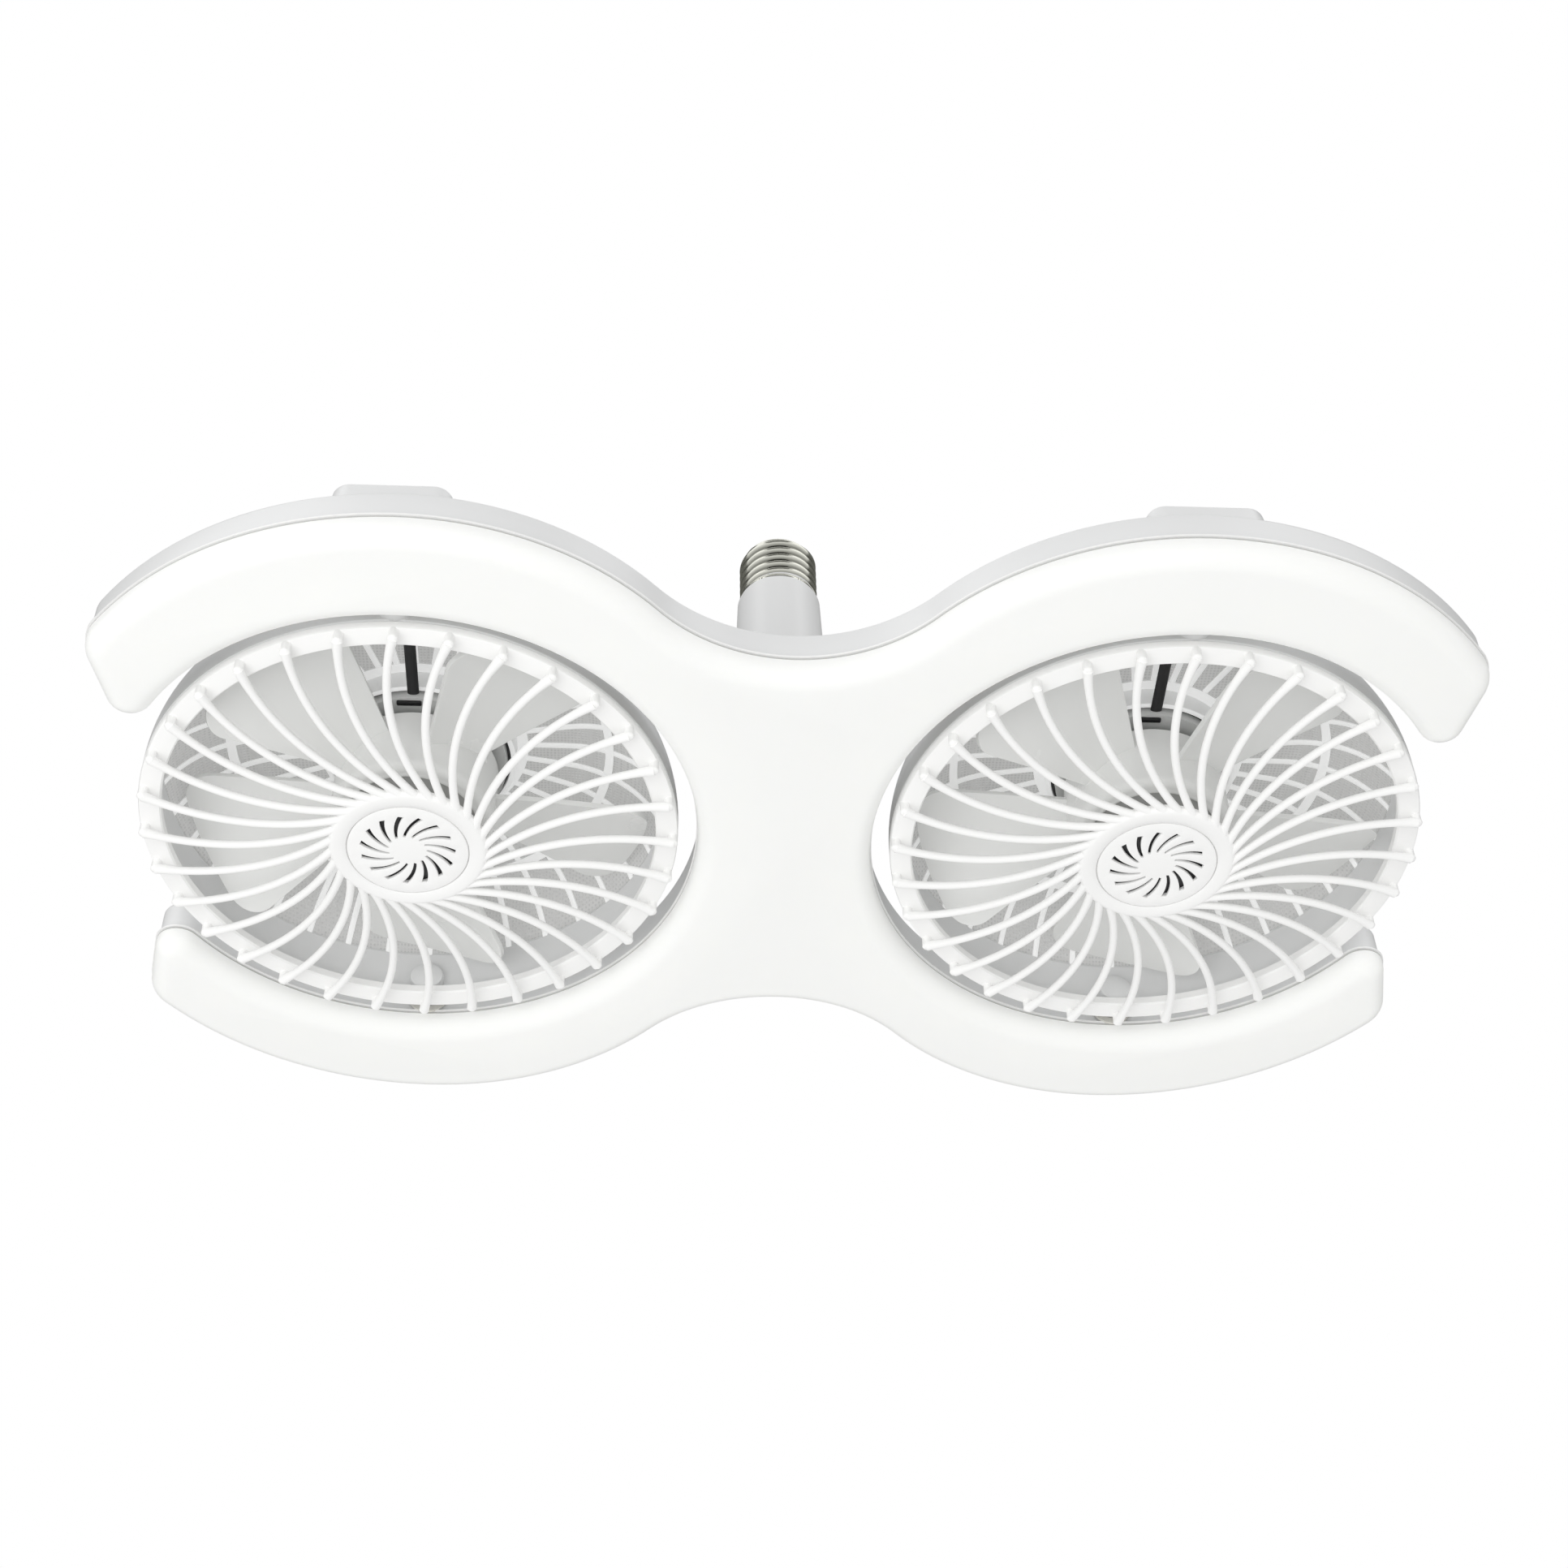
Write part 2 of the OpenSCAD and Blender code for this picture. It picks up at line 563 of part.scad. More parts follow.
module motor_screw_places() for (turn = [30:120:270])
    rotate([0, 0, turn]) translate([motor_screw_pcd / 2, 0, 0]) children();

// A round plate with a rim, seated in the rear shell, with the bearing tube in front
module motor_base(side) color(smoke) on_head(side) difference() {
    union() {
        translate([0, 0, base_front_z]) cylinder(h = base_t, r = motor_r);
        ring(motor_r, motor_r - 1.8, base_front_z, rear_z - rear_wall);
        motor_screw_places() translate([0, 0, base_front_z]) cylinder(h = base_h, r = 3, $fn = 32);
        translate([0, 0, tube_front_z]) cylinder(h = base_front_z - tube_front_z + 1, r = tube_r);
    }
    translate([0, 0, tube_front_z - 1]) cylinder(h = bearing_t + 1, r = bearing_r);
    translate([0, 0, base_front_z + base_t - bearing_t]) cylinder(h = bearing_t + 1, r = bearing_r);
    translate([0, 0, tube_front_z - 1])
        cylinder(h = base_front_z - tube_front_z + base_t + 2, r = shaft_r + 0.5);
    motor_screw_places() translate([0, 0, base_front_z + base_t])
        cylinder(h = base_h, r = motor_screw_r - 0.2, $fn = 24);
}

module motor_board(side) color(board_green) on_head(side)
    ring(stator_r + 2, tube_r + 0.05, motor_board_z, motor_board_z + motor_board_t);

module stator(side) color(copper) on_head(side) translate([0, 0, stator_z]) linear_extrude(stator_h)
    difference() {
        union() {
            circle(8);
            for (turn = [0:40:320]) rotate(turn) {
                translate([0, -1.6]) square([stator_r - 2, 3.2]);
                intersection() {
                    difference() { circle(stator_r); circle(stator_r - 2.4); }
                    polygon([[0, 0], [30, -8.4], [30, 8.4]]);
                }
            }
        }
        circle(tube_r + 0.02);
    }

module motor_bearings(side) color(steel) on_head(side) {
    ring(bearing_r, shaft_r + run_gap, tube_front_z, tube_front_z + bearing_t);
    ring(bearing_r, shaft_r + run_gap, base_front_z + base_t - bearing_t, base_front_z + base_t);
}

module rear_screws(side) color(steel) on_head(side) motor_screw_places() {
    translate([0, 0, rear_z]) cylinder(h = 1.4, r = 2.5, $fn = 32);
    translate([0, 0, rear_z - 6]) cylinder(h = 6.2, r = motor_screw_r - 0.22, $fn = 24);
}

// A flat black lead from the near trunnion along the rear shell to the motor
lead_w = 3.6;
lead_t = 1.8;
// Middle of the lead from the trunnion up the shell's wall, over the blades and in to the motor
lead_path = [[boss_in_y - 1.1, pivot_z - 1.2], [boss_in_y - 1.1, pivot_z + 9.8],
    [boss_in_y - 2.8, pivot_z + 13], [boss_in_y - 5, pivot_z + 16.4],
    [vent_mid_r, base_front_z - 0.5], [motor_r + 2.6, base_front_z - 0.5]];
module motor_lead(side) color(black) on_head(side) {
    pivot_rod(-1, boss_in_y - 2, trunnion_end_y - 2, lead_bore_r - 0.1);
    for (i = [0:len(lead_path) - 2]) hull() for (p = [lead_path[i], lead_path[i + 1]])
        translate([-lead_w / 2, -p[0], p[1]]) rotate([0, 90, 0])
            cylinder(h = lead_w, r = lead_t / 2, $fn = 12);
}

// ---- Rotor ----
rotor_front_z = ring_z + 3;
hub_wall = 1.6;
can_r = rotor_hub_r - hub_wall;
can_wall = 1;
magnet_t = 2.6;
rotor_back_z = motor_board_z - 0.8;
blade_root_z = rotor_front_z + 14.1;
blade_camber_r = 90;
blade_half_turn = 25;
blade_tip_round = 9;
blade_tip_r = rim_r - blade_gap;
blade_rest_turn = -128;

// Plan of one blade: a wide sector with rounded tip corners
module blade_plan() {
    w = blade_half_turn;
    r = blade_tip_r - blade_tip_round;
    t = w - asin(blade_tip_round / r);
    intersection() {
        circle(blade_tip_r);
        union() {
            polygon([[0, 0], r * [cos(w), -sin(w)], (r + 30) * [cos(t), -sin(t)], [r + 30, 0],
                     (r + 30) * [cos(t), sin(t)], r * [cos(w), sin(w)]]);
            for (s = [-t, t]) rotate(s) translate([r, 0]) circle(blade_tip_round, $fn = 48);
        }
    }
}

// A blade is a piece of a curved sheet, pitched about its own radius
module blade() intersection() {
    translate([0, 0, blade_root_z - 30]) linear_extrude(60) blade_plan();
    translate([0, 0, blade_root_z]) rotate([blade_pitch, 0, 0])
        translate([rotor_hub_r - 1.2, 0, -blade_camber_r]) rotate([0, 90, 0]) difference() {
            cylinder(h = blade_tip_r, r = blade_camber_r + blade_t / 2, $fn = 180);
            translate([0, 0, -1]) cylinder(h = blade_tip_r + 2, r = blade_camber_r - blade_t / 2, $fn = 180);
        }
}

module rotor(side) color(smoke) on_head(side) {
    rotate_extrude() polygon([[shaft_r, rotor_front_z], [rotor_hub_r - 3, rotor_front_z],
        [rotor_hub_r, rotor_front_z + 3], [rotor_hub_r, rotor_back_z], [can_r, rotor_back_z],
        [can_r, rotor_front_z + 3], [shaft_r, rotor_front_z + 3]]);
    for (i = [0:blade_count - 1]) rotate([0, 0, 360 * i / blade_count + blade_rest_turn]) blade();
}

module motor_can(side) color(steel) on_head(side) rotate_extrude() polygon([
    [shaft_r, rotor_front_z + 3], [can_r, rotor_front_z + 3], [can_r, rotor_back_z - 0.5],
    [can_r - can_wall, rotor_back_z - 0.5], [can_r - can_wall, rotor_front_z + 3 + can_wall],
    [shaft_r, rotor_front_z + 3 + can_wall]]);

module magnet_ring(side) color(black) on_head(side)
    ring(can_r - can_wall, can_r - can_wall - magnet_t, rotor_front_z + 5, rotor_back_z - 1);

module motor_shaft(side) color(steel) on_head(side)
    translate([0, 0, rotor_front_z]) cylinder(h = base_front_z + base_t - rotor_front_z, r = shaft_r);

housing();
diffuser();
led_board(-1);  // led_board_left
led_board(1);  // led_board_right
leds(-1);  // leds_left
leds(1);  // leds_right
board_screws();
neck();
neck_screws();
driver_board();
driver_parts();
cap_shell();
cap_insulator();
cap_contact();
pivot_cover(-1, -1);  // pivot_cover_near_left
pivot_cover(1, -1);  // pivot_cover_near_right
pivot_cover(-1, 1);  // pivot_cover_far_left
pivot_cover(1, 1);  // pivot_cover_far_right
pivot_bushes();
grille(-1);  // grille_left
badge_plate(-1);  // badge_plate_left
rear_shell(-1);  // rear_shell_left
trunnions(-1);  // trunnions_left
friction_washers(-1);  // friction_washers_left
trunnion_nuts(-1);  // trunnion_nuts_left
motor_base(-1);  // motor_base_left
motor_board(-1);  // motor_board_left
stator(-1);  // stator_left
motor_bearings(-1);  // motor_bearings_left
motor_lead(-1);  // motor_lead_left
rear_screws(-1);  // rear_screws_left
rotor(-1);  // rotor_left
motor_can(-1);  // motor_can_left
magnet_ring(-1);  // magnet_ring_left
motor_shaft(-1);  // motor_shaft_left
grille(1);  // grille_right
badge_plate(1);  // badge_plate_right
rear_shell(1);  // rear_shell_right
trunnions(1);  // trunnions_right
friction_washers(1);  // friction_washers_right
trunnion_nuts(1);  // trunnion_nuts_right
motor_base(1);  // motor_base_right
motor_board(1);  // motor_board_right
stator(1);  // stator_right
motor_bearings(1);  // motor_bearings_right
motor_lead(1);  // motor_lead_right
rear_screws(1);  // rear_screws_right
rotor(1);  // rotor_right
motor_can(1);  // motor_can_right
magnet_ring(1);  // magnet_ring_right
motor_shaft(1);  // motor_shaft_right
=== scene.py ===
# %% [markdown]
# # A twin head ceiling fan
# A lamp body shaped like a bow tie hangs from a screw cap, and two round fan heads tilt between its
# arms. The imported model gives every piece its size and place. This notebook gives the pieces their
# finish, and models afresh those whose look needs more than a plain solid: rounded shells, the
# swirling grille, the fan blades and the thread of the cap.

# %% Load the imported model
import json
from math import radians, degrees, sin, cos, asin, acos, atan2, sqrt, pi, hypot
import bpy
from mathutils import Vector, Matrix


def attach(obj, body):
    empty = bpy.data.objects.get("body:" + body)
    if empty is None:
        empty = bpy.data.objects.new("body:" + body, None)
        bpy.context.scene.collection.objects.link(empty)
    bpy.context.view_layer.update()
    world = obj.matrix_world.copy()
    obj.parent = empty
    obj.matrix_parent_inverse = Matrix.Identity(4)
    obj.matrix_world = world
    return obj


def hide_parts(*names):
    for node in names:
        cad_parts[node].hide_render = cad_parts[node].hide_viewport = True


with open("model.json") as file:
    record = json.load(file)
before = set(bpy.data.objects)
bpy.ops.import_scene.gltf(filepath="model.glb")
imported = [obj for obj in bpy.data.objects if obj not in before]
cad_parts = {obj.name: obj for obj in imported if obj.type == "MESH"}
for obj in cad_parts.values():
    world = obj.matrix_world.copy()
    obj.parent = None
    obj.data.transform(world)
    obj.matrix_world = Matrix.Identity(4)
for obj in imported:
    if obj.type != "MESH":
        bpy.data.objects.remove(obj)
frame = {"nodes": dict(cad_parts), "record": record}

bpy.context.view_layer.update()
nodes = frame["nodes"]
print("nodes:", len(nodes))

# %% [markdown]
# ## Sizes that several pieces share
# Blender works in metres, and the sizes below are in millimetres, as on a drawing, times MM.
# Heights are counted from the diffuser's flat face, which looks down, so a piece is built face
# down at zero and then dropped to its place under the cap.

# %% Shared sizes
MM = 0.001
face_drop = 116
head_x = 114
opening_r = 87.5
rim_r = 81.4
body_top = 20
seam_z = 8
pivot_z = 14.2
rear_z = 46.6
sides = (("left", -1), ("right", 1))
print("rims", 2 * rim_r, "mm wide in openings of", 2 * opening_r, "mm")

# %% [markdown]
# ## The camera
# The photograph was taken from in front and below. A few numbers place such a camera: the point
# that it looks at, how far it stands to the side, how steeply it looks up, its roll and its
# distance. The lens follows from how wide the object is in the picture.

# %% Camera
look_at = Vector((0.3, 0.0, 29.7 - face_drop)) * MM
view_distance = 765 * MM
view_side = radians(-3.73)
view_rise = radians(45.84)
view_roll = radians(-1.45)
sensor_width = 36.0
picture_width_px = 1932
focal_px = 3006

away = Vector((sin(view_side) * cos(view_rise), -cos(view_side) * cos(view_rise), -sin(view_rise)))
level_right = (-away).cross(Vector((0, 0, 1))).normalized()
level_up = level_right.cross(-away)
rolled_right = cos(view_roll) * level_right + sin(view_roll) * level_up
rolled_up = -sin(view_roll) * level_right + cos(view_roll) * level_up

camera_data = bpy.data.cameras.new("camera")
camera_data.sensor_width = sensor_width
camera_data.lens = focal_px / picture_width_px * sensor_width
camera = bpy.data.objects.new("camera", camera_data)
bpy.context.scene.collection.objects.link(camera)
turn = Matrix((rolled_right, rolled_up, away)).transposed()
camera.matrix_world = Matrix.Translation(look_at + view_distance * away) @ turn.to_4x4()
bpy.context.scene.camera = camera
print("lens:", round(camera_data.lens, 2), "mm")

# %% [markdown]
# ## Helpers for shader nodes
# Light and finishes are built from small nodes whose sockets are joined. An input of a node gets
# either a value of its own or the socket that feeds it, so one helper makes the node and sees to
# all its inputs. The others are for what is done often: arithmetic, and carrying a value to a new
# range.

# %% Helpers: nodes and paints
def feed(tree, taker, giver):
    """Gives an input a value, or the socket that feeds it."""
    if isinstance(giver, bpy.types.NodeSocket):
        tree.links.new(giver, taker)
    else:
        taker.default_value = giver


def add(tree, kind, inputs=None, **settings):
    node = tree.nodes.new("ShaderNode" + kind)
    for setting, value in settings.items():
        setattr(node, setting, value)
    for label, giver in (inputs or {}).items():
        feed(tree, node.inputs[label], giver)
    return node


def work_out(tree, operation, first, second=0.0):
    return add(tree, "Math", {0: first, 1: second}, operation=operation).outputs[0]


def carry(tree, value, from_min, from_max, to_min=0.0, to_max=1.0):
    """Carries a value from one range to another, and keeps it inside."""
    return add(tree, "MapRange", {"Value": value, "From Min": from_min, "From Max": from_max,
                                  "To Min": to_min, "To Max": to_max}).outputs["Result"]


def new_paint(name, inputs):
    """A material, and its shader with these values."""
    paint = bpy.data.materials.new(name)
    paint.use_nodes = True
    shader = paint.node_tree.nodes["Principled BSDF"]
    for label, value in inputs.items():
        shader.inputs[label].default_value = value
    return paint, shader


# %% [markdown]
# ## Light and background
# A white product is photographed in broad, even light. The world lights the object from all round,
# while the camera, mirrors and glass see it as plain white. Two wide soft lamps add the shape: one
# in front and below for the face, and a weak one above for the edges. The floor lies far below, so
# that it hides nothing that is seen from underneath, and the camera sees it as nearly white.

# %% World
ambient_strength = 0.78
plain_white = (1.0, 1.0, 1.0, 1.0)
world = bpy.data.worlds.new("studio")
bpy.context.scene.world = world
world.use_nodes = True
sky = world.node_tree
sky.nodes.clear()
rays = add(sky, "LightPath").outputs
camera_or_mirror = work_out(sky, "MAXIMUM", rays["Is Camera Ray"], rays["Is Glossy Ray"])
seen_as_white = work_out(sky, "MAXIMUM", camera_or_mirror, rays["Is Transmission Ray"])
ambient = add(sky, "Background", {"Color": plain_white, "Strength": ambient_strength})
backdrop = add(sky, "Background", {"Color": plain_white, "Strength": 1.0})
sky_mix = add(sky, "MixShader", {"Fac": seen_as_white, 1: ambient.outputs[0],
                                 2: backdrop.outputs[0]})
add(sky, "OutputWorld", {"Surface": sky_mix.outputs[0]})
print("ambient light:", ambient_strength)


# %% Lamps
def soft_lamp(name, place, size, power):
    lamp = bpy.data.lights.new(name, "AREA")
    lamp.shape = "SQUARE"
    lamp.size = size
    lamp.energy = power
    holder = bpy.data.objects.new(name, lamp)
    bpy.context.scene.collection.objects.link(holder)
    holder.location = place
    holder.visible_camera = holder.visible_glossy = False
    holder.rotation_euler = (look_at - Vector(place)).to_track_quat("-Z", "Y").to_euler()
    print(name, "at", place, power, "W")


soft_lamp("face_lamp", (-0.5, -0.9, -1.1), 1.4, 11.0)
soft_lamp("edge_lamp", (0.6, 0.5, 1.2), 1.4, 2.0)

# %% Floor
floor_size, floor_z = 60.0, -1.35
bpy.ops.object.select_all(action="DESELECT")
bpy.ops.mesh.primitive_plane_add(size=floor_size, location=(0, 0, floor_z))
floor = bpy.context.active_object
floor.name = "floor"
floor_paint, floor_shader = new_paint("pale_floor", {
    "Base Color": (0.88, 0.88, 0.88, 1), "Roughness": 0.9, "Emission Strength": 0.31})
floor_net = floor_paint.node_tree
feed(floor_net, floor_shader.inputs["Emission Color"],
     add(floor_net, "LightPath").outputs["Is Camera Ray"])
floor.data.materials.append(floor_paint)
bpy.context.scene.view_settings.view_transform = "Standard"
print("floor at", floor_z, "m")

# %% [markdown]
# ## Dark cards for the metal
# A bright room all round makes bare metal look like grey paint. Photographers stand dark cards
# beside such a piece. Here one stands in front of the cap and above it, and three broad ones
# behind and at the sides, and only reflections show them.

# %% Dark cards
card_paint, _ = new_paint("card_black", {"Base Color": (0.12, 0.12, 0.11, 1), "Roughness": 0.9})


def dark_card(name, toward, distance, size):
    bpy.ops.object.select_all(action="DESELECT")
    bpy.ops.mesh.primitive_plane_add(size=1.0)
    card = bpy.context.active_object
    card.name = name
    card.scale = (size[0], size[1], 1)
    card.location = Vector(toward).normalized() * distance
    card.rotation_euler = Vector(toward).to_track_quat("-Z", "Y").to_euler()
    card.data.materials.append(card_paint)
    card.visible_camera = card.visible_diffuse = card.visible_shadow = False
    card.visible_transmission = False
    print(name, "at", [round(v, 2) for v in card.location])


dark_card("front_card", (0, -0.87, 0.50), 0.5, (0.56, 0.80))
dark_card("back_card", (0, 1.0, 0.45), 0.6, (1.3, 1.2))
dark_card("left_card", (-1.0, 0.45, 0.45), 0.7, (0.85, 1.2))
dark_card("right_card", (1.0, 0.45, 0.45), 0.7, (0.85, 1.2))

# %% [markdown]
# ## Effects that several finishes share
# A shader node group is a small recipe that many materials can use with their own amounts. Moulded
# plastic has a fine grain and slow changes of tone. Sharp edges are lighter, partly worn where hands
# touch and partly a painted highlight. Dust settles thinly on what faces up, and a ceiling lamp
# always has some.

# %% Group: fine grain and slow tone
def new_group(name, amounts, results):
    """A group that takes amounts, given with their defaults, and hands out results."""
    group = bpy.data.node_groups.new(name, "ShaderNodeTree")
    for label, value in amounts.items():
        group.interface.new_socket(name=label, in_out="INPUT",
                                   socket_type="NodeSocketFloat").default_value = value
    for label in results:
        group.interface.new_socket(name=label, in_out="OUTPUT", socket_type="NodeSocketFloat")
    print("group:", name)
    return (group, group.nodes.new("NodeGroupInput").outputs,
            group.nodes.new("NodeGroupOutput").inputs)


tree, given, result = new_group(
    "moulded_grain", {"Grain Scale": 2600.0, "Tone Scale": 22.0}, ("Grain", "Tone"))
grain_group = tree
spot = add(tree, "TexCoord").outputs["Object"]
for label, detail in (("Grain", 3.0), ("Tone", 4.0)):
    scale = given[label + " Scale"]
    noise = add(tree, "TexNoise", {"Vector": spot, "Scale": scale, "Detail": detail})
    feed(tree, result[label], noise.outputs["Fac"])

# %% Group: worn edges with a painted highlight
flat_pointiness, edge_pointiness = 0.51, 0.60
tree, given, result = new_group("worn_edge_and_highlight", {"Amount": 0.5}, ("Mask",))
worn_edge_and_highlight_group = tree
pointiness = add(tree, "NewGeometry").outputs["Pointiness"]
sharp = carry(tree, pointiness, flat_pointiness, edge_pointiness)
feed(tree, result["Mask"], work_out(tree, "MULTIPLY", sharp, given["Amount"]))

# %% Group: a film of dust on what faces up
steep, level_enough = 0.35, 0.95
tree, given, result = new_group("settled_dust", {"Amount": 0.5}, ("Mask",))
dust_group = tree
facing = add(tree, "SeparateXYZ", {0: add(tree, "NewGeometry").outputs["Normal"]})
upward = carry(tree, facing.outputs["Z"], steep, level_enough)
spot = add(tree, "TexCoord").outputs["Object"]
patches = add(tree, "TexNoise", {"Vector": spot, "Scale": 60.0, "Detail": 6.0})
patchy = work_out(tree, "MULTIPLY", upward, patches.outputs["Fac"])
feed(tree, result["Mask"], work_out(tree, "MULTIPLY", patchy, given["Amount"]))

# %% [markdown]
# Three more recipes serve one or two finishes each. The grey net that stands for the shade between
# the bars shows its threads more than what lies between them. A painted glow lights the inner side
# of a thin wall, though no lamp is there. And a round wall is painted darker or lighter by its
# distance from an axis and its height: painted shade in a groove or a narrow gap, or a painted
# highlight.

# %% Group: the cells of a fine net
cell_middle, cell_border = 0.15, 0.5
tree, given, result = new_group(
    "net_cells", {"Cell Scale": 900.0, "Cell Alpha": 0.62, "Thread Alpha": 0.84}, ("Mask",))
net_group = tree
spot = add(tree, "TexCoord").outputs["Object"]
cells = add(tree, "TexVoronoi", {"Vector": spot, "Scale": given["Cell Scale"],
                                 "Randomness": 0.15}, feature="F1")
feed(tree, result["Mask"], carry(tree, cells.outputs["Distance"], cell_middle, cell_border,
                                 given["Cell Alpha"], given["Thread Alpha"]))

# %% Group: a painted glow on the inner side of a thin wall
level_side, inner_side = 0.1, -0.3
tree, given, result = new_group("painted_inner_glow", {"Strength": 1.0}, ("Glow",))
painted_glow_group = tree
own_normal = add(tree, "SeparateXYZ", {0: add(tree, "TexCoord").outputs["Normal"]})
feed(tree, result["Glow"], carry(tree, own_normal.outputs["Z"], level_side, inner_side,
                                 0.0, given["Strength"]))

# %% Group: painted shade or highlight on a round wall
lean_width = 60
tree, given, result = new_group(
    "round_wall_shade",
    {"Axis X": 0.0, "From Radius": 0.0, "To Radius": 1.0, "From Height": 0.0, "To Height": 1.0,
     "Amount": 1.0, "Far Share": 1.0}, ("Mask",))
shade_group = tree
axes = add(tree, "SeparateXYZ", {0: add(tree, "TexCoord").outputs["Object"]}).outputs
outward = work_out(tree, "SUBTRACT", work_out(tree, "ABSOLUTE", axes["X"]), given["Axis X"])
flat = add(tree, "CombineXYZ", {"X": outward, "Y": axes["Y"]})
radius = add(tree, "VectorMath", {0: flat.outputs[0]}, operation="LENGTH").outputs["Value"]
shade = carry(tree, radius, given["From Radius"], given["To Radius"])
for share in (carry(tree, axes["Z"], given["From Height"], given["To Height"]), given["Amount"],
              carry(tree, outward, -lean_width * MM, 0, 1.0, given["Far Share"])):
    shade = work_out(tree, "MULTIPLY", shade, share)
feed(tree, result["Mask"], shade)

# %% [markdown]
# ## Finishes
# Most pieces are moulded plastic or turned metal, and differ in colour, gloss and grain. One
# helper builds such a finish: the colour drifts with the slow tone, gets lighter on sharp edges,
# partly wear and partly a painted highlight, and is dulled by dust, and the grain gives a faint
# bump. What is the same all over a surface is set on the shader itself.

# %% Helpers for moulded and metal finishes
for packed in bpy.data.materials:
    packed.name = "packed_" + packed.name

finishes = {}
dust_colour = (0.62, 0.60, 0.56)
wear_and_highlight_gain = 1.12
coat_roughness = 0.12
everywhere = (-1000, -999)      # a start and an end that every radius and height lies beyond


def blend(tree, factor, first, second):
    """Mixes two colours, each of them a value or a socket."""
    first, second = [colour if isinstance(colour, bpy.types.NodeSocket) else (*colour, 1.0)
                     for colour in (first, second)]
    return add(tree, "Mix", {"Factor": factor, 6: first, 7: second}, data_type="RGBA").outputs[2]


def new_finish(name, colour, deep, roughness, metallic=0.0, coat=0.0, edge=0.15, dust=0.25,
               grain_scale=2600.0, tone_scale=22.0, bump=0.04, emission=0.0):
    finish, shader = new_paint(name, {"Metallic": metallic, "Coat Weight": coat,
                                      "Coat Roughness": coat_roughness})
    tree = finish.node_tree
    grain = add(tree, "Group", node_tree=grain_group, inputs={
        "Grain Scale": grain_scale, "Tone Scale": tone_scale}).outputs
    edges = add(tree, "Group", {"Amount": edge}, node_tree=worn_edge_and_highlight_group).outputs
    dusty = add(tree, "Group", {"Amount": dust}, node_tree=dust_group).outputs
    body = blend(tree, grain["Tone"], deep, colour)
    # Sharp edges get lighter: partly wear, partly a painted highlight.
    lighter = tuple(min(1.0, part * wear_and_highlight_gain) for part in colour)
    dusted = blend(tree, dusty["Mask"], blend(tree, edges["Mask"], body, lighter), dust_colour)
    relief = add(tree, "Bump", {"Strength": bump, "Distance": 0.1 * MM, "Height": grain["Grain"]})
    feed(tree, shader.inputs["Base Color"], dusted)
    feed(tree, shader.inputs["Roughness"],
         carry(tree, grain["Tone"], 0.0, 1.0, roughness * 0.85, roughness * 1.15))
    feed(tree, shader.inputs["Normal"], relief.outputs["Normal"])
    if emission:
        feed(tree, shader.inputs["Emission Color"], dusted)
        shader.inputs["Emission Strength"].default_value = emission
    finishes[name] = finish
    return finish


def shade_wall(finish, colour, axis_x, radii, heights, amount, far_share=1.0):
    """Blends a colour into a finish between two radii and two heights: painted shade or a painted
    highlight.
    """
    tree = finish.node_tree
    shaded = tree.nodes["Principled BSDF"].inputs
    shade = add(tree, "Group", node_tree=shade_group, inputs={
        "Axis X": axis_x * MM, "From Radius": radii[0] * MM, "To Radius": radii[1] * MM,
        "From Height": heights[0] * MM, "To Height": heights[1] * MM, "Amount": amount,
        "Far Share": far_share})
    mixed = blend(tree, shade.outputs["Mask"], shaded["Base Color"].links[0].from_socket, colour)
    for label in ("Base Color", "Emission Color"):
        if shaded[label].is_linked:
            feed(tree, shaded[label], mixed)


def paint_glow_inside(finish):
    """Paints a glow on the inner side of a finish that has some emission: painted light, not a lamp.
    """
    tree = finish.node_tree
    feed(tree, tree.nodes["Principled BSDF"].inputs["Emission Color"],
         add(tree, "Group", node_tree=painted_glow_group).outputs["Glow"])


# %% The plastics
shell_tones = (0.85, 0.855, 0.855), (0.81, 0.815, 0.815)
rim_shade, rim_shade_top, rim_shade_foot = (0.50, 0.50, 0.49), 20, 10
white_shell = new_finish("white_shell", *shell_tones, 0.34, dust=0.3)
guard_rim_white = new_finish("guard_rim_white", *shell_tones, 0.34, dust=0.3)
# Painted shade: the rim's outer wall is darker towards the ring, where the head sits in its opening,
# and most on the side towards the body's middle.
shade_wall(guard_rim_white, rim_shade, head_x, (rim_r - 0.3, rim_r - 0.05),
           (rim_shade_top - face_drop, rim_shade_foot - face_drop), amount=0.8, far_share=0.4)
# Painted light: the guard's bars glow on their inner side, though they are no lamp.
guard_white = new_finish("guard_white", (0.88, 0.885, 0.88), (0.84, 0.845, 0.84), 0.36,
                         emission=0.30)
paint_glow_inside(guard_white)
# Painted light: a faint emission brightens the grille, which is no lamp.
white_grille = new_finish("white_grille", (0.95, 0.95, 0.94), (0.92, 0.92, 0.91), 0.30, edge=0.1,
                          emission=0.06)
opal_diffuser = new_finish("opal_diffuser", (0.90, 0.905, 0.88), (0.88, 0.885, 0.86), 0.38,
                           edge=0.05, dust=0.1, tone_scale=9.0, bump=0.02, emission=0.16)
opal_shader = opal_diffuser.node_tree.nodes["Principled BSDF"]
opal_shader.inputs["Subsurface Weight"].default_value = 0.25
opal_shader.inputs["Subsurface Radius"].default_value = (6 * MM, 6 * MM, 5 * MM)
opal_shader.inputs["Subsurface Scale"].default_value = 1.0
smoke_rotor = new_finish("smoke_rotor", (0.89, 0.895, 0.88), (0.85, 0.855, 0.84), 0.26, dust=0.1,
                         tone_scale=35.0)
new_finish("grey_motor", (0.74, 0.745, 0.735), (0.68, 0.685, 0.675), 0.42, bump=0.06)
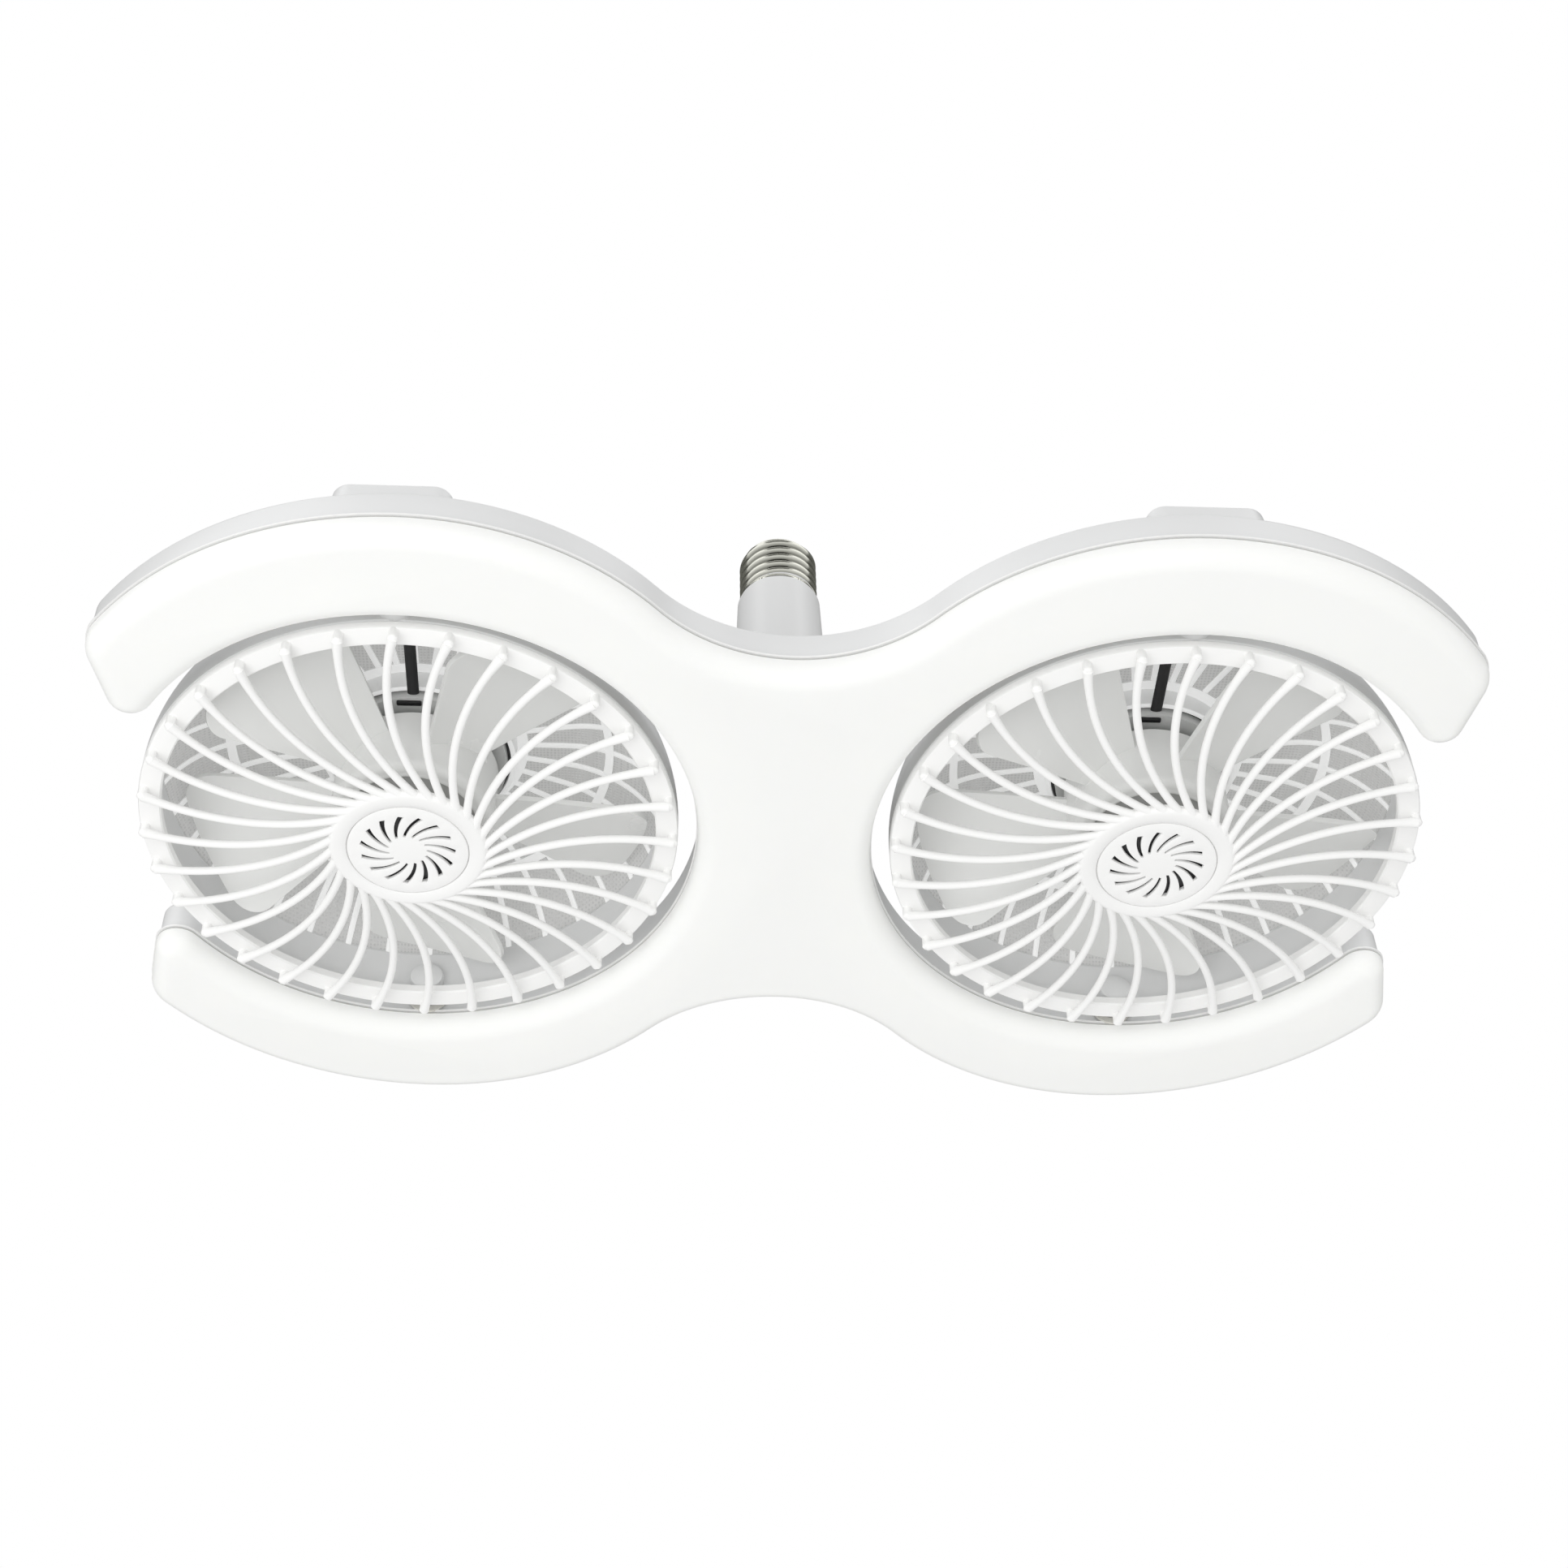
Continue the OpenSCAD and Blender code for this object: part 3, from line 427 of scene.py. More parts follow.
new_finish("board_white", (0.86, 0.87, 0.86), (0.82, 0.83, 0.82), 0.45, bump=0.02)
new_finish("board_green", (0.05, 0.22, 0.10), (0.04, 0.17, 0.08), 0.40, coat=0.3)
black_parts = new_finish("black_parts", (0.03, 0.03, 0.032), (0.02, 0.02, 0.022), 0.45)
black_insulator = new_finish("black_insulator", (0.025, 0.024, 0.03), (0.015, 0.015, 0.02), 0.16,
                             coat=0.5, bump=0.01)
black_lead = new_finish("black_lead", (0.012, 0.012, 0.013), (0.008, 0.008, 0.009), 0.5, edge=0.0)
new_finish("bush_nylon", (0.72, 0.71, 0.66), (0.66, 0.65, 0.60), 0.42)
new_finish("led_emitter", (0.95, 0.86, 0.52), (0.90, 0.80, 0.45), 0.3, emission=0.4)
print("plastics:", len(finishes))

# %% The net that stands for shade: grey threads, less to see in its cells, and a painted glow
grey_net = new_finish("grey_net", (0.62, 0.62, 0.61), (0.57, 0.57, 0.56), 0.6, edge=0.0, dust=0.1,
                      emission=0.14)
paint_glow_inside(grey_net)
tree = grey_net.node_tree
feed(tree, tree.nodes["Principled BSDF"].inputs["Alpha"],
     add(tree, "Group", node_tree=net_group).outputs["Mask"])
print("net cells in:", grey_net.name)

# %% The metals
new_finish("steel_screw", (0.58, 0.58, 0.60), (0.46, 0.46, 0.48), 0.32, metallic=1.0,
           tone_scale=140.0, edge=0.5)
new_finish("pivot_steel", (0.62, 0.62, 0.64), (0.52, 0.52, 0.54), 0.28, metallic=1.0,
           tone_scale=90.0, edge=0.4)
contact_metal = new_finish("contact_metal", (0.66, 0.65, 0.62), (0.50, 0.49, 0.46), 0.34,
                           metallic=1.0, tone_scale=320.0, bump=0.2)
nickel_cap = new_finish("nickel_cap", (0.95, 0.95, 0.86), (0.88, 0.88, 0.79), 0.18, metallic=1.0,
                        tone_scale=120.0, edge=0.3, dust=0.05)
new_finish("magnet_dark", (0.06, 0.06, 0.065), (0.04, 0.04, 0.045), 0.5)
new_finish("stator_copper", (0.72, 0.36, 0.16), (0.55, 0.25, 0.10), 0.35, metallic=1.0,
           tone_scale=500.0, grain_scale=900.0, bump=0.3)
print("finishes:", len(finishes))

# %% Every carried-over piece gets the finish that the record names for it
for part in frame["record"]["subparts"]:
    for material_slot in nodes[part["node"]].material_slots:
        material_slot.material = finishes[part["material_slot"]]

# %% [markdown]
# ## Helpers for modelling
# Each piece starts as one of Blender's primitives, is shaped in edit mode and ends with its place
# in its mesh. A piece of one fan head is modelled once at the centre, and each head gets its own
# copy.

# %% Helpers: start, pick and edit
def start(name):
    """The primitive that was just added, ready to be shaped under its own name."""
    piece = bpy.context.active_object
    piece.name = name
    piece.data.name = name
    return piece


def pick(*pieces):
    """Selects these pieces alone, and makes the first of them the active one."""
    bpy.ops.object.select_all(action="DESELECT")
    for piece in pieces:
        piece.select_set(True)
    if pieces:
        bpy.context.view_layer.objects.active = pieces[0]


def edit(piece):
    pick(piece)
    bpy.ops.object.mode_set(mode="EDIT")
    bpy.ops.mesh.select_all(action="SELECT")


def tidy(piece):
    """Merges doubles, turns the faces outwards and leaves edit mode."""
    bpy.ops.mesh.select_all(action="SELECT")
    bpy.ops.mesh.remove_doubles(threshold=0.002 * MM)
    bpy.ops.mesh.normals_make_consistent(inside=False)
    bpy.ops.object.mode_set(mode="OBJECT")
    print(piece.name + ":", len(piece.data.vertices), "points")


def drop(piece, elements, kind, wanted):
    """Deletes those of a piece's edges or faces for which wanted is true."""
    edit(piece)
    bpy.ops.mesh.select_all(action="DESELECT")
    bpy.ops.object.mode_set(mode="OBJECT")
    for element in getattr(piece.data, elements):
        element.select = wanted(element)
    bpy.ops.object.mode_set(mode="EDIT")
    bpy.ops.mesh.delete(type=kind)
    bpy.ops.object.mode_set(mode="OBJECT")


def raise_face(height):
    bpy.ops.mesh.extrude_region_move(TRANSFORM_OT_translate={"value": (0, 0, height * MM)})


def step_in(draw_in, height):
    bpy.ops.mesh.inset(thickness=draw_in * MM, depth=0, use_even_offset=True)
    bpy.ops.transform.translate(value=(0, 0, height * MM))


def round_edge(radius, steps, way=1):
    """Rounds a face's edge by insets, each drawn in a little less and moved a little more."""
    for step in range(steps):
        before, after = radians(90 * step / steps), radians(90 * (step + 1) / steps)
        step_in(radius * (cos(before) - cos(after)), way * radius * (sin(after) - sin(before)))


# %% Helpers: modifiers, smoothing and place
def modify(piece, kind, **settings):
    """Adds a modifier, sets it up and applies it."""
    bpy.context.view_layer.objects.active = piece
    modifier = piece.modifiers.new(kind.lower(), kind)
    for key, value in settings.items():
        setattr(modifier, key, value)
    bpy.ops.object.modifier_apply(modifier=modifier.name)


def smooth(piece, angle=35):
    pick(piece)
    bpy.ops.object.shade_smooth_by_angle(angle=radians(angle))


def settle(piece, shift=(0, 0, 0)):
    """Moves the mesh itself, so that the object stays at the origin."""
    piece.data.transform(Matrix.Translation(Vector(shift) * MM) @ piece.matrix_basis)
    piece.matrix_basis = Matrix.Identity(4)


def copy_of(piece):
    """A copy with its own mesh."""
    twin = piece.copy()
    twin.data = piece.data.copy()
    bpy.context.scene.collection.objects.link(twin)
    return twin


def join(pieces, name):
    pick(*pieces)
    if len(pieces) > 1:
        bpy.ops.object.join()
    return start(name)


def ring_of(piece, count, name, first_turn=0.0):
    """Copies a piece round the head's axis and joins the copies."""
    copies = [copy_of(piece) for _ in range(count)]
    for i, made in enumerate(copies):
        made.data.transform(Matrix.Rotation(first_turn + 2 * pi * i / count, 4, "Z"))
    bpy.data.objects.remove(piece)
    return join(copies, name)


# %% Helpers: finish a piece, and give both heads one
def dress(piece, finish, body, *replaced, slot=None):
    piece.data.materials.clear()
    piece.data.materials.append(finish)
    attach(piece, body)
    if replaced:
        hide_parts(*replaced)
    print(piece.name, "on", body + ":", len(piece.data.polygons), "faces")


def both_heads(piece, finish, part, *replaced, slot=None):
    """One piece for each head: the first is moved to the left, its copy to the right."""
    base = piece.name
    for made, (side, way) in zip((piece, copy_of(piece)), sides):
        made.name = base + "_" + side
        made.data.name = made.name
        settle(made, (way * head_x, 0, -face_drop))
        dress(made, finish, side + "_" + part, *[node + "_" + side for node in replaced],
              slot=slot)


# %% [markdown]
# ## Helpers: a drawn outline, and a turned shape
# A circle primitive gives a loop of points, and the points are moved to an outline. Rings, domes
# and knobs are turned shapes: the outline is half of the cross-section, and the Spin operator
# sweeps it round the axis. That is how a lathe works, and it keeps every edge a true circle.

# %% Helpers: outlines
def outline(name, points, filled=False, closed=True):
    """A loop, a face or an open line through points in millimetres."""
    pick()
    bpy.ops.mesh.primitive_circle_add(vertices=len(points), radius=1,
                                      fill_type="NGON" if filled else "NOTHING")
    piece = start(name)
    for vertex, point in zip(piece.data.vertices, points):
        vertex.co = [length * MM for length in point]
    if not closed:
        ends = {0, len(points) - 1}
        drop(piece, "edges", "EDGE_FACE", lambda edge: set(edge.vertices) == ends)
    return piece


def turned(name, section, steps=96, closed=True):
    """section is a list of (radius, height) in millimetres, going round the cut face."""
    piece = outline(name, [(radius, 0, height) for radius, height in section], closed=closed)
    edit(piece)
    bpy.ops.mesh.spin(steps=steps, angle=2 * pi, center=(0, 0, 0), axis=(0, 0, 1))
    tidy(piece)
    return piece


def bend(center, radius, from_turn, to_turn, steps):
    """Points on an arc of a cross-section or a plan, in millimetres."""
    turns = [radians(from_turn + (to_turn - from_turn) * i / steps) for i in range(steps + 1)]
    return [(center[0] + radius * cos(turn), center[1] + radius * sin(turn)) for turn in turns]


# %% [markdown]
# ## The plan of the lamp body
# The body's plan is one quarter, mirrored twice. Circular arcs make it: the hollow waist, the inner
# and outer curve of the arm, the rounded tip, the small corner at the mouth and the round opening.
# Neighbouring arcs touch without a kink, because their centres lie on one line through that point.

# %% Plan of the body
waist_y = 71
arm_y = 119
lobe_x = head_x - 2
inner_lobe_r = 100
outer_lobe_r = 112
tip_r, tip_turn = 12, 39.6
mouth_r, mouth_turn = 7, 35.6

inner_centre = (lobe_x, arm_y - inner_lobe_r)
outer_centre = (lobe_x, arm_y - outer_lobe_r)
waist_rise = waist_y - inner_centre[1]
waist_r = (lobe_x ** 2 + waist_rise ** 2 - inner_lobe_r ** 2) / (2 * (inner_lobe_r - waist_rise))
waist_centre = (0, waist_y + waist_r)
tip_centre = (outer_centre[0] + (outer_lobe_r - tip_r) * cos(radians(tip_turn)),
              outer_centre[1] + (outer_lobe_r - tip_r) * sin(radians(tip_turn)))
mouth_centre = (head_x + (opening_r + mouth_r) * cos(radians(mouth_turn)),
                (opening_r + mouth_r) * sin(radians(mouth_turn)))
end_x, end_y = tip_centre[0] - mouth_centre[0], tip_centre[1] - mouth_centre[1]
end_turn = (degrees(atan2(end_y, end_x)) - 90
            - degrees(asin((tip_r - mouth_r) / hypot(end_x, end_y))))
lobe_turn = degrees(atan2(waist_centre[1] - inner_centre[1], -inner_centre[0]))

quarter = (bend(waist_centre, waist_r, -90, lobe_turn - 180, 24)
           + bend(inner_centre, inner_lobe_r, lobe_turn, 90, 22)[1:]
           + bend(outer_centre, outer_lobe_r, 90, tip_turn, 22)[1:]
           + bend(tip_centre, tip_r, tip_turn, end_turn, 12)[1:]
           + bend(mouth_centre, mouth_r, end_turn, mouth_turn - 180, 10)
           + bend((head_x, 0), opening_r, mouth_turn, 180, 60)[1:])
upper_right = quarter[:-1]
lower_right = [(x, -y) for x, y in reversed(quarter)][:-1]
lower_left = [(-x, -y) for x, y in quarter][:-1]
upper_left = [(-x, y) for x, y in reversed(quarter)][:-1]
body_plan = upper_right + lower_right + lower_left + upper_left
print("plan points:", len(body_plan))


# %% Helper: a flat plate with that plan
def body_plate(name, height):
    """The plan as one face at a height above the diffuser's face, in millimetres."""
    return outline(name, [(x, y, height) for x, y in body_plan], filled=True)


# %% [markdown]
# ## The diffuser
# The opal cover is a shallow tray with a broad rounded edge, moulded in one piece. It starts as the
# flat plan at the seam. Extruding gives its wall, and a row of insets gives the rounded edge. Then
# its back is opened, and Solidify makes it a shell. A thin band of painted shade along its top
# stands for the shadow gap at its seam.

# %% Diffuser
diffuser_wall = 1.5
edge_r, edge_steps = 6, 9
seam_height = seam_z - face_drop

diffuser = body_plate("diffuser_cover", seam_z)
edit(diffuser)
raise_face(edge_r - seam_z)
round_edge(edge_r, edge_steps, way=-1)
tidy(diffuser)
drop(diffuser, "polygons", "FACE", lambda face: face.normal.z > 0.9)
modify(diffuser, "SOLIDIFY", thickness=diffuser_wall * MM, offset=-1, use_even_offset=True)
smooth(diffuser, 40)
settle(diffuser, (0, 0, -face_drop))
# Painted shade: a dark band at the top of the diffuser's wall, in the shadow gap under the shell.
shade_wall(opal_diffuser, (0.30, 0.30, 0.29), 0, everywhere,
           (seam_height - 0.5, seam_height - 0.3), amount=0.7)
dress(diffuser, opal_diffuser, "lamp_body", "diffuser")

# %% [markdown]
# ## The back shell
# The shell meets the diffuser with a thin lip that stands half a millimetre proud, which catches
# the light above a dark shadow gap. So the plan rises by the lip, is drawn in to the wall, and
# ends in a small rounded edge on the ceiling side. Last, the lip's points are moved outwards.

# %% Back shell
lip_out, lip_t = 0.5, 0.5
shadow_gap = 0.4
shell_wall = 2
back_r, back_steps = 1.8, 5
lip_z = seam_z + shadow_gap
wall_z = lip_z + lip_t + 0.35

back_shell = body_plate("back_shell", lip_z)
edit(back_shell)
raise_face(lip_t)
step_in(0.3, 0.25)
step_in(0.3, 0.1)
raise_face(body_top - back_r - wall_z)
round_edge(back_r, back_steps)
tidy(back_shell)
for vertex in back_shell.data.vertices:
    if vertex.co.z < (wall_z - 0.05) * MM:
        outward = Vector((vertex.normal.x, vertex.normal.y, 0)).normalized()
        reach = 1.0 if vertex.co.z < (lip_z + lip_t + 0.1) * MM else 0.4
        vertex.co += outward * lip_out * reach * MM
drop(back_shell, "polygons", "FACE",
     lambda face: face.normal.z < -0.9 and face.center.z < (seam_z + 1) * MM)
modify(back_shell, "SOLIDIFY", thickness=shell_wall * MM, offset=-1, use_even_offset=True)
smooth(back_shell, 40)
settle(back_shell, (0, 0, -face_drop))
# Painted highlight: the white shell is painted lighter up to the top of its lip.
lip_height = seam_height + shadow_gap + 0.7
shade_wall(white_shell, (0.98, 0.98, 0.97), 0, everywhere, (lip_height + 0.1, lip_height),
           amount=0.9)
dress(back_shell, white_shell, "lamp_body", "housing")

# %% [markdown]
# ## The covers over the pivots
# Each pivot sits under a low rounded box on the arm. A plane is set to the cover's size, its
# corners are bevelled broadly, and it rises with a slight draft, as a moulded lid leaves its
# mould. Small insets round its roof. The lid is hollow, because the pivot's nut turns inside it.

# %% Pivot covers
cover_in_y, cover_out_y = 89.1, 116.8
cover_w, cover_l = 35, cover_out_y - cover_in_y
cover_h, cover_sunk = 6.5, 0.2
cover_wall = 1.2
corner_r, roof_draft = 6, 0.6
roof_r, roof_steps = 1.8, 5

for side, way in sides:
    for end, end_sign in (("near", -1), ("far", 1)):
        pick()
        bpy.ops.mesh.primitive_plane_add(size=1)
        cover = start("cover_" + end + "_" + side)
        for vertex in cover.data.vertices:
            vertex.co = Vector((cover_w * vertex.co.x, cover_l * vertex.co.y,
                                body_top - cover_sunk)) * MM
        edit(cover)
        bpy.ops.mesh.bevel(offset=corner_r * MM, segments=10, affect="VERTICES")
        bpy.ops.mesh.select_all(action="SELECT")
        step_in(roof_draft, cover_h - roof_r + cover_sunk)
        round_edge(roof_r, roof_steps)
        tidy(cover)
        drop(cover, "polygons", "FACE",
             lambda face: abs(face.normal.z) > 0.9 and face.center.z < (body_top + 1) * MM)
        modify(cover, "SOLIDIFY", thickness=cover_wall * MM, offset=-1)
        smooth(cover, 45)
        settle(cover, (way * head_x, end_sign * (cover_in_y + cover_out_y) / 2, -face_drop))
        dress(cover, white_shell, "lamp_body", "pivot_cover_" + end + "_" + side)

# %% [markdown]
# ## The grille
# Thirty-two thin rods swirl from a flat ring to the hub. Each rod is an arc of a circle that leans
# towards the hub, so one small circle is spun about the arc's centre, then turned and tilted into
# place. It swells a little at both ends, as moulded ribs do. A peg with a rounded head stands on
# the ring where the rod starts. Rod and peg are modelled once and copied round.

# %% Sizes of the grille
ring_z, ring_t, ring_w = 5.6, 3, 6.8
rib_count = 32
rib_r, nub_r = 1.25, 1.45
rib_bow, rib_sweep, rib_rise = 6, radians(20.5), 4.2
rim_swell, rim_swell_share = 0.28, 0.16
hub_swell, hub_swell_share = 0.08, 0.14
hub_r, hub_z = 24, -3

rib_start = Vector((rim_r - nub_r - 0.1, 0, ring_z - rib_rise + rib_r))
rib_end = Vector(((hub_r - 1.5) * cos(rib_sweep), (hub_r - 1.5) * sin(rib_sweep),
                  hub_z + rib_r + 0.15))
chord = rib_end - rib_start
arc_r = (chord.length ** 2 / 4 + rib_bow ** 2) / (2 * rib_bow)
half_turn = asin(chord.length / 2 / arc_r)
print("rib:", round(chord.length, 1), "mm chord on a radius of", round(arc_r, 1), "mm")

# %% One rib
pick()
bpy.ops.mesh.primitive_circle_add(vertices=14, radius=rib_r * MM, fill_type="NGON",
                                  location=(arc_r * MM, 0, 0), rotation=(pi / 2, 0, 0))
bpy.ops.object.transform_apply(location=True, rotation=True, scale=True)
rib = start("rib")
edit(rib)
bpy.ops.mesh.spin(steps=26, angle=2 * half_turn, center=(0, 0, 0), axis=(0, 0, 1))
tidy(rib)
for vertex in rib.data.vertices:
    angle = atan2(vertex.co.y, vertex.co.x)
    along = abs(angle) / (2 * half_turn)
    swell = (1 + rim_swell * max(0.0, 1 - along / rim_swell_share) ** 2
             + hub_swell * max(0.0, (along - 1 + hub_swell_share) / hub_swell_share) ** 2)
    middle = Vector((cos(angle), sin(angle), 0)) * arc_r * MM
    vertex.co = middle + (vertex.co - middle) * swell

spun_way = 1 if sum(vertex.co.y for vertex in rib.data.vertices) > 0 else -1
lean = (Matrix.Rotation(atan2(chord.y, chord.x), 4, "Z")
        @ Matrix.Rotation(-atan2(chord.z, hypot(chord.x, chord.y)), 4, "Y"))
rib.data.transform(Matrix.Translation(rib_start * MM) @ lean
                   @ Matrix.Translation(Vector((chord.length / 2, -(arc_r - rib_bow), 0)) * MM)
                   @ Matrix.Rotation(pi / 2 - spun_way * half_turn, 4, "Z"))

# %% One peg, and the set of ribs and pegs
peg = turned("peg", [
    (0, 1.8), (0.8, 1.8), (1.3, 2.05), (1.55, 2.5), (nub_r, 3.0), (nub_r, ring_z + 1),
    (0, ring_z + 1)], steps=16, closed=False)
settle(peg, (rib_start.x, 0, 0))
rib_set = ring_of(join([rib, peg], "rib_and_peg"), rib_count, "rib_set")

# %% Ring and hub of the grille
plate_recess_r, plate_floor_z, slot_floor_z = 18.6, -1.65, -0.85
ring_in_r, ring_back_z = rim_r - ring_w, ring_z + ring_t
ring = turned("ring", [
    (ring_in_r + 0.5, ring_z), (rim_r - 0.9, ring_z), (rim_r - 0.3, ring_z + 0.25),
    (rim_r, ring_z + 0.9), (rim_r, ring_back_z - 0.5), (rim_r - 0.7, ring_back_z),
    (ring_in_r, ring_back_z), (ring_in_r, ring_z + 0.5)], steps=160)
hub = turned("hub", [
    (0, 0), (hub_r - 0.4, 0), (hub_r, -0.4), *bend((hub_r - 1.6, hub_z + 1.6), 1.6, 0, -90, 6),
    (plate_recess_r + 0.3, hub_z), (plate_recess_r, hub_z + 0.25), (plate_recess_r, plate_floor_z),
    (14.9, plate_floor_z), (14.9, slot_floor_z), (3.9, slot_floor_z), (3.9, plate_floor_z),
    (0, plate_floor_z)], steps=120, closed=False)
grille = join([ring, hub, rib_set], "swirl_grille")
smooth(grille, 40)
both_heads(grille, white_grille, "head", "grille")

# %% The badge plates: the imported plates, a little wider in their recess
plate_scale = 1.035
for side, way in sides:
    packed_plate = nodes["badge_plate_" + side]
    badge = copy_of(packed_plate)
    badge.parent = None
    badge.data.transform(packed_plate.matrix_world)
    badge.matrix_basis = Matrix.Identity(4)
    badge.name = "badge_disc_" + side
    edit(badge)
    tidy(badge)
    middle_x = way * head_x * MM
    for vertex in badge.data.vertices:
        vertex.co.x = middle_x + (vertex.co.x - middle_x) * plate_scale
        vertex.co.y *= plate_scale
    modify(badge, "BEVEL", width=0.15 * MM, segments=2, limit_method="ANGLE",
           angle_limit=radians(60))
    smooth(badge, 35)
    dress(badge, white_grille, side + "_head", "badge_plate_" + side)

# %% Painted shade: a black disc stands for the dark hollow behind the slots of the hub's plate
slot_shade = turned("slot_shade", [
    (4.1, -1.0), (14.7, -1.0), (14.7, -0.87), (4.1, -0.87)], steps=64)
both_heads(slot_shade, black_parts, "head")

# %% [markdown]
# ## The rear guard
# The back of a head is a dome of thirty-six bars between a rim, a middle ring and a back plate. The
# three rings are turned. A bar is a crescent cut from sheet: a filled outline is extruded to the
# bar's width, and its edges are bevelled.

# %% Sizes of the rear guard
shoulder_r, dome_wall = 35, 2
shoulder_x, shoulder_z = rim_r - shoulder_r, rear_z - shoulder_r
seat_r = 28.6
vent_in_r, vent_mid_r, vent_out_r = seat_r + 5, rim_r - 23.4, rim_r - 3.6
vent_ring_w = 2.6
bar_count, bar_w, bar_edge = 36, 2, 0.35
bar_in = 0.12                   # the bars lie this far inside both faces of the rings
print("dome:", shoulder_r, "mm shoulder,", bar_count, "bars")


# %% Helper: the shoulder of the dome
def shoulder(depth, from_r, to_r, steps=12):
    """Points on the dome's shoulder, drawn in by depth, between two distances from the axis."""
    radius = shoulder_r - depth
    turns = [degrees(acos(max(-1.0, min(1.0, (r - shoulder_x) / radius)))) for r in (from_r, to_r)]
    return bend((shoulder_x, shoulder_z), radius, turns[0], turns[1], steps)


# %% Rim, middle ring and back plate
collar_z = rear_z - 9
plate_z, vent_ring_r = rear_z - dome_wall, vent_mid_r + vent_ring_w
guard_rim = turned("guard_rim", [
    (rim_r - dome_wall, ring_back_z), (rim_r - 0.7, ring_back_z), (rim_r, ring_back_z + 0.5),
    *shoulder(0, rim_r, vent_out_r), *shoulder(dome_wall, vent_out_r - 0.8, rim_r - dome_wall)],
    steps=160)
middle_ring = turned("middle_ring", [
    *shoulder(0, vent_ring_r, vent_mid_r, 4), *shoulder(dome_wall, vent_mid_r, vent_ring_r, 4)],
    steps=160)
back_plate = turned("back_plate", [
    (0, rear_z), (vent_in_r - 0.5, rear_z), (vent_in_r, rear_z - 0.5), (vent_in_r, plate_z),
    (seat_r + 1.6, plate_z), (seat_r + 1.6, collar_z + 0.2), (seat_r + 1.3, collar_z),
    (seat_r + 0.3, collar_z), (seat_r, collar_z + 0.2), (seat_r, plate_z), (0, plate_z)],
    steps=120, closed=False)

# %% Bars
crescent = [*shoulder(bar_in, vent_out_r + 0.6, shoulder_x, 16), (vent_in_r - 1, rear_z - bar_in),
            (vent_in_r - 1, plate_z + bar_in),
            *shoulder(dome_wall - bar_in, shoulder_x, vent_out_r + 0.2, 16)]
bar = outline("bar", [(x, -bar_w / 2, z) for x, z in crescent], filled=True)
edit(bar)
bpy.ops.mesh.extrude_region_move(TRANSFORM_OT_translate={"value": (0, bar_w * MM, 0)})
tidy(bar)
modify(bar, "BEVEL", width=bar_edge * MM, segments=2, limit_method="ANGLE",
       angle_limit=radians(50))
bar_set = ring_of(bar, bar_count, "bar_set")

# %% Pivot bosses: the near one is open for the lead, and a lid closes the far one
boss_r, boss_bore_r = 5.5, 4.35
boss_in_y, boss_out_y = 76.5, 84
lid_t = 1
boss_wall = [(boss_r, boss_in_y + 0.3), (boss_r, boss_out_y - 0.4), (boss_r - 0.4, boss_out_y),
             (boss_bore_r, boss_out_y)]
near_boss = turned("boss", [
    (boss_bore_r, boss_in_y), (boss_r - 0.3, boss_in_y), *boss_wall], steps=48)
far_boss = turned("boss", [
    (0, boss_in_y - lid_t), (boss_r - 1.2, boss_in_y - lid_t), (boss_r - 0.3, boss_in_y - 0.6),
    *boss_wall, (boss_bore_r, boss_in_y), (0, boss_in_y)], steps=48, closed=False)
for boss, way in ((near_boss, 1), (far_boss, -1)):
    boss.data.transform(Matrix.Translation((0, 0, pivot_z * MM))
                        @ Matrix.Rotation(way * pi / 2, 4, "X"))

# %% The guard as two pieces: the rim with its bosses, and the bars with their rings
rear_guard = join([guard_rim, near_boss, far_boss], "rear_guard")
guard_bars = join([bar_set, middle_ring, back_plate], "guard_bars")
smooth(rear_guard, 35)
both_heads(rear_guard, guard_rim_white, "head", "rear_shell", slot="white_shell")
smooth(guard_bars, 35)
both_heads(guard_bars, guard_white, "head", slot="white_shell")

# %% [markdown]
# ## The grey net inside the guard, which stands for shade
# Behind the fans the photograph is an even grey between the bars, not the white of the backdrop.
# There a fine grey net lies half-way through the bars' depth and stands for the shade between them:
# painted shade. It is a thin turned dome, its material shows the threads more than the cells
# between them, and a faint painted glow lights its inner side.

# %% The net that stands for the shade between the bars
net_outer, net_inner = 1.1, 1.4
net_out_r, net_in_r = rim_r - 3.0, vent_in_r - 0.4
shade_net = turned("shade_net", [
    *shoulder(net_outer, net_out_r, shoulder_x, 24), (net_in_r, rear_z - net_outer),
    (net_in_r, rear_z - net_inner), *shoulder(net_inner, shoulder_x, net_out_r, 24)], steps=144)
smooth(shade_net, 50)
both_heads(shade_net, grey_net, "head", slot="grey_motor")

# %% [markdown]
# ## The rotor
# A blade is a piece of curved sheet, pitched eighteen degrees about its own radius. A grid
# primitive is laid out as a sector with rounded tip corners, each point is lifted onto the pitched
# sheet, and Solidify and Bevel give it thickness and soft edges. The hub is turned, with a shallow
# recess.

# %% Sizes of the rotor
rotor_hub_r, rotor_front_z, rotor_back_z = 25, 8.6, 31.8
hub_wall, hub_round, hub_bore_r = 1.6, 3, 1.6
blade_count, blade_t, blade_edge = 5, 1.5, 0.55
blade_root_r, blade_tip_r, blade_tip_round = rotor_hub_r - 0.9, rim_r - 9.4, 9
blade_half_turn, blade_pitch = radians(21.5), radians(18)
blade_camber_r, blade_root_z = 90, rotor_front_z + 14.1
blade_rest_turn = radians(-128)

corner_at = blade_tip_r - blade_tip_round
corner_turn = blade_half_turn - asin(blade_tip_round / corner_at)
touch_r = sqrt(corner_at ** 2 - blade_tip_round ** 2)
print("blades:", blade_count, "of", round(blade_tip_r - rotor_hub_r, 1), "mm")


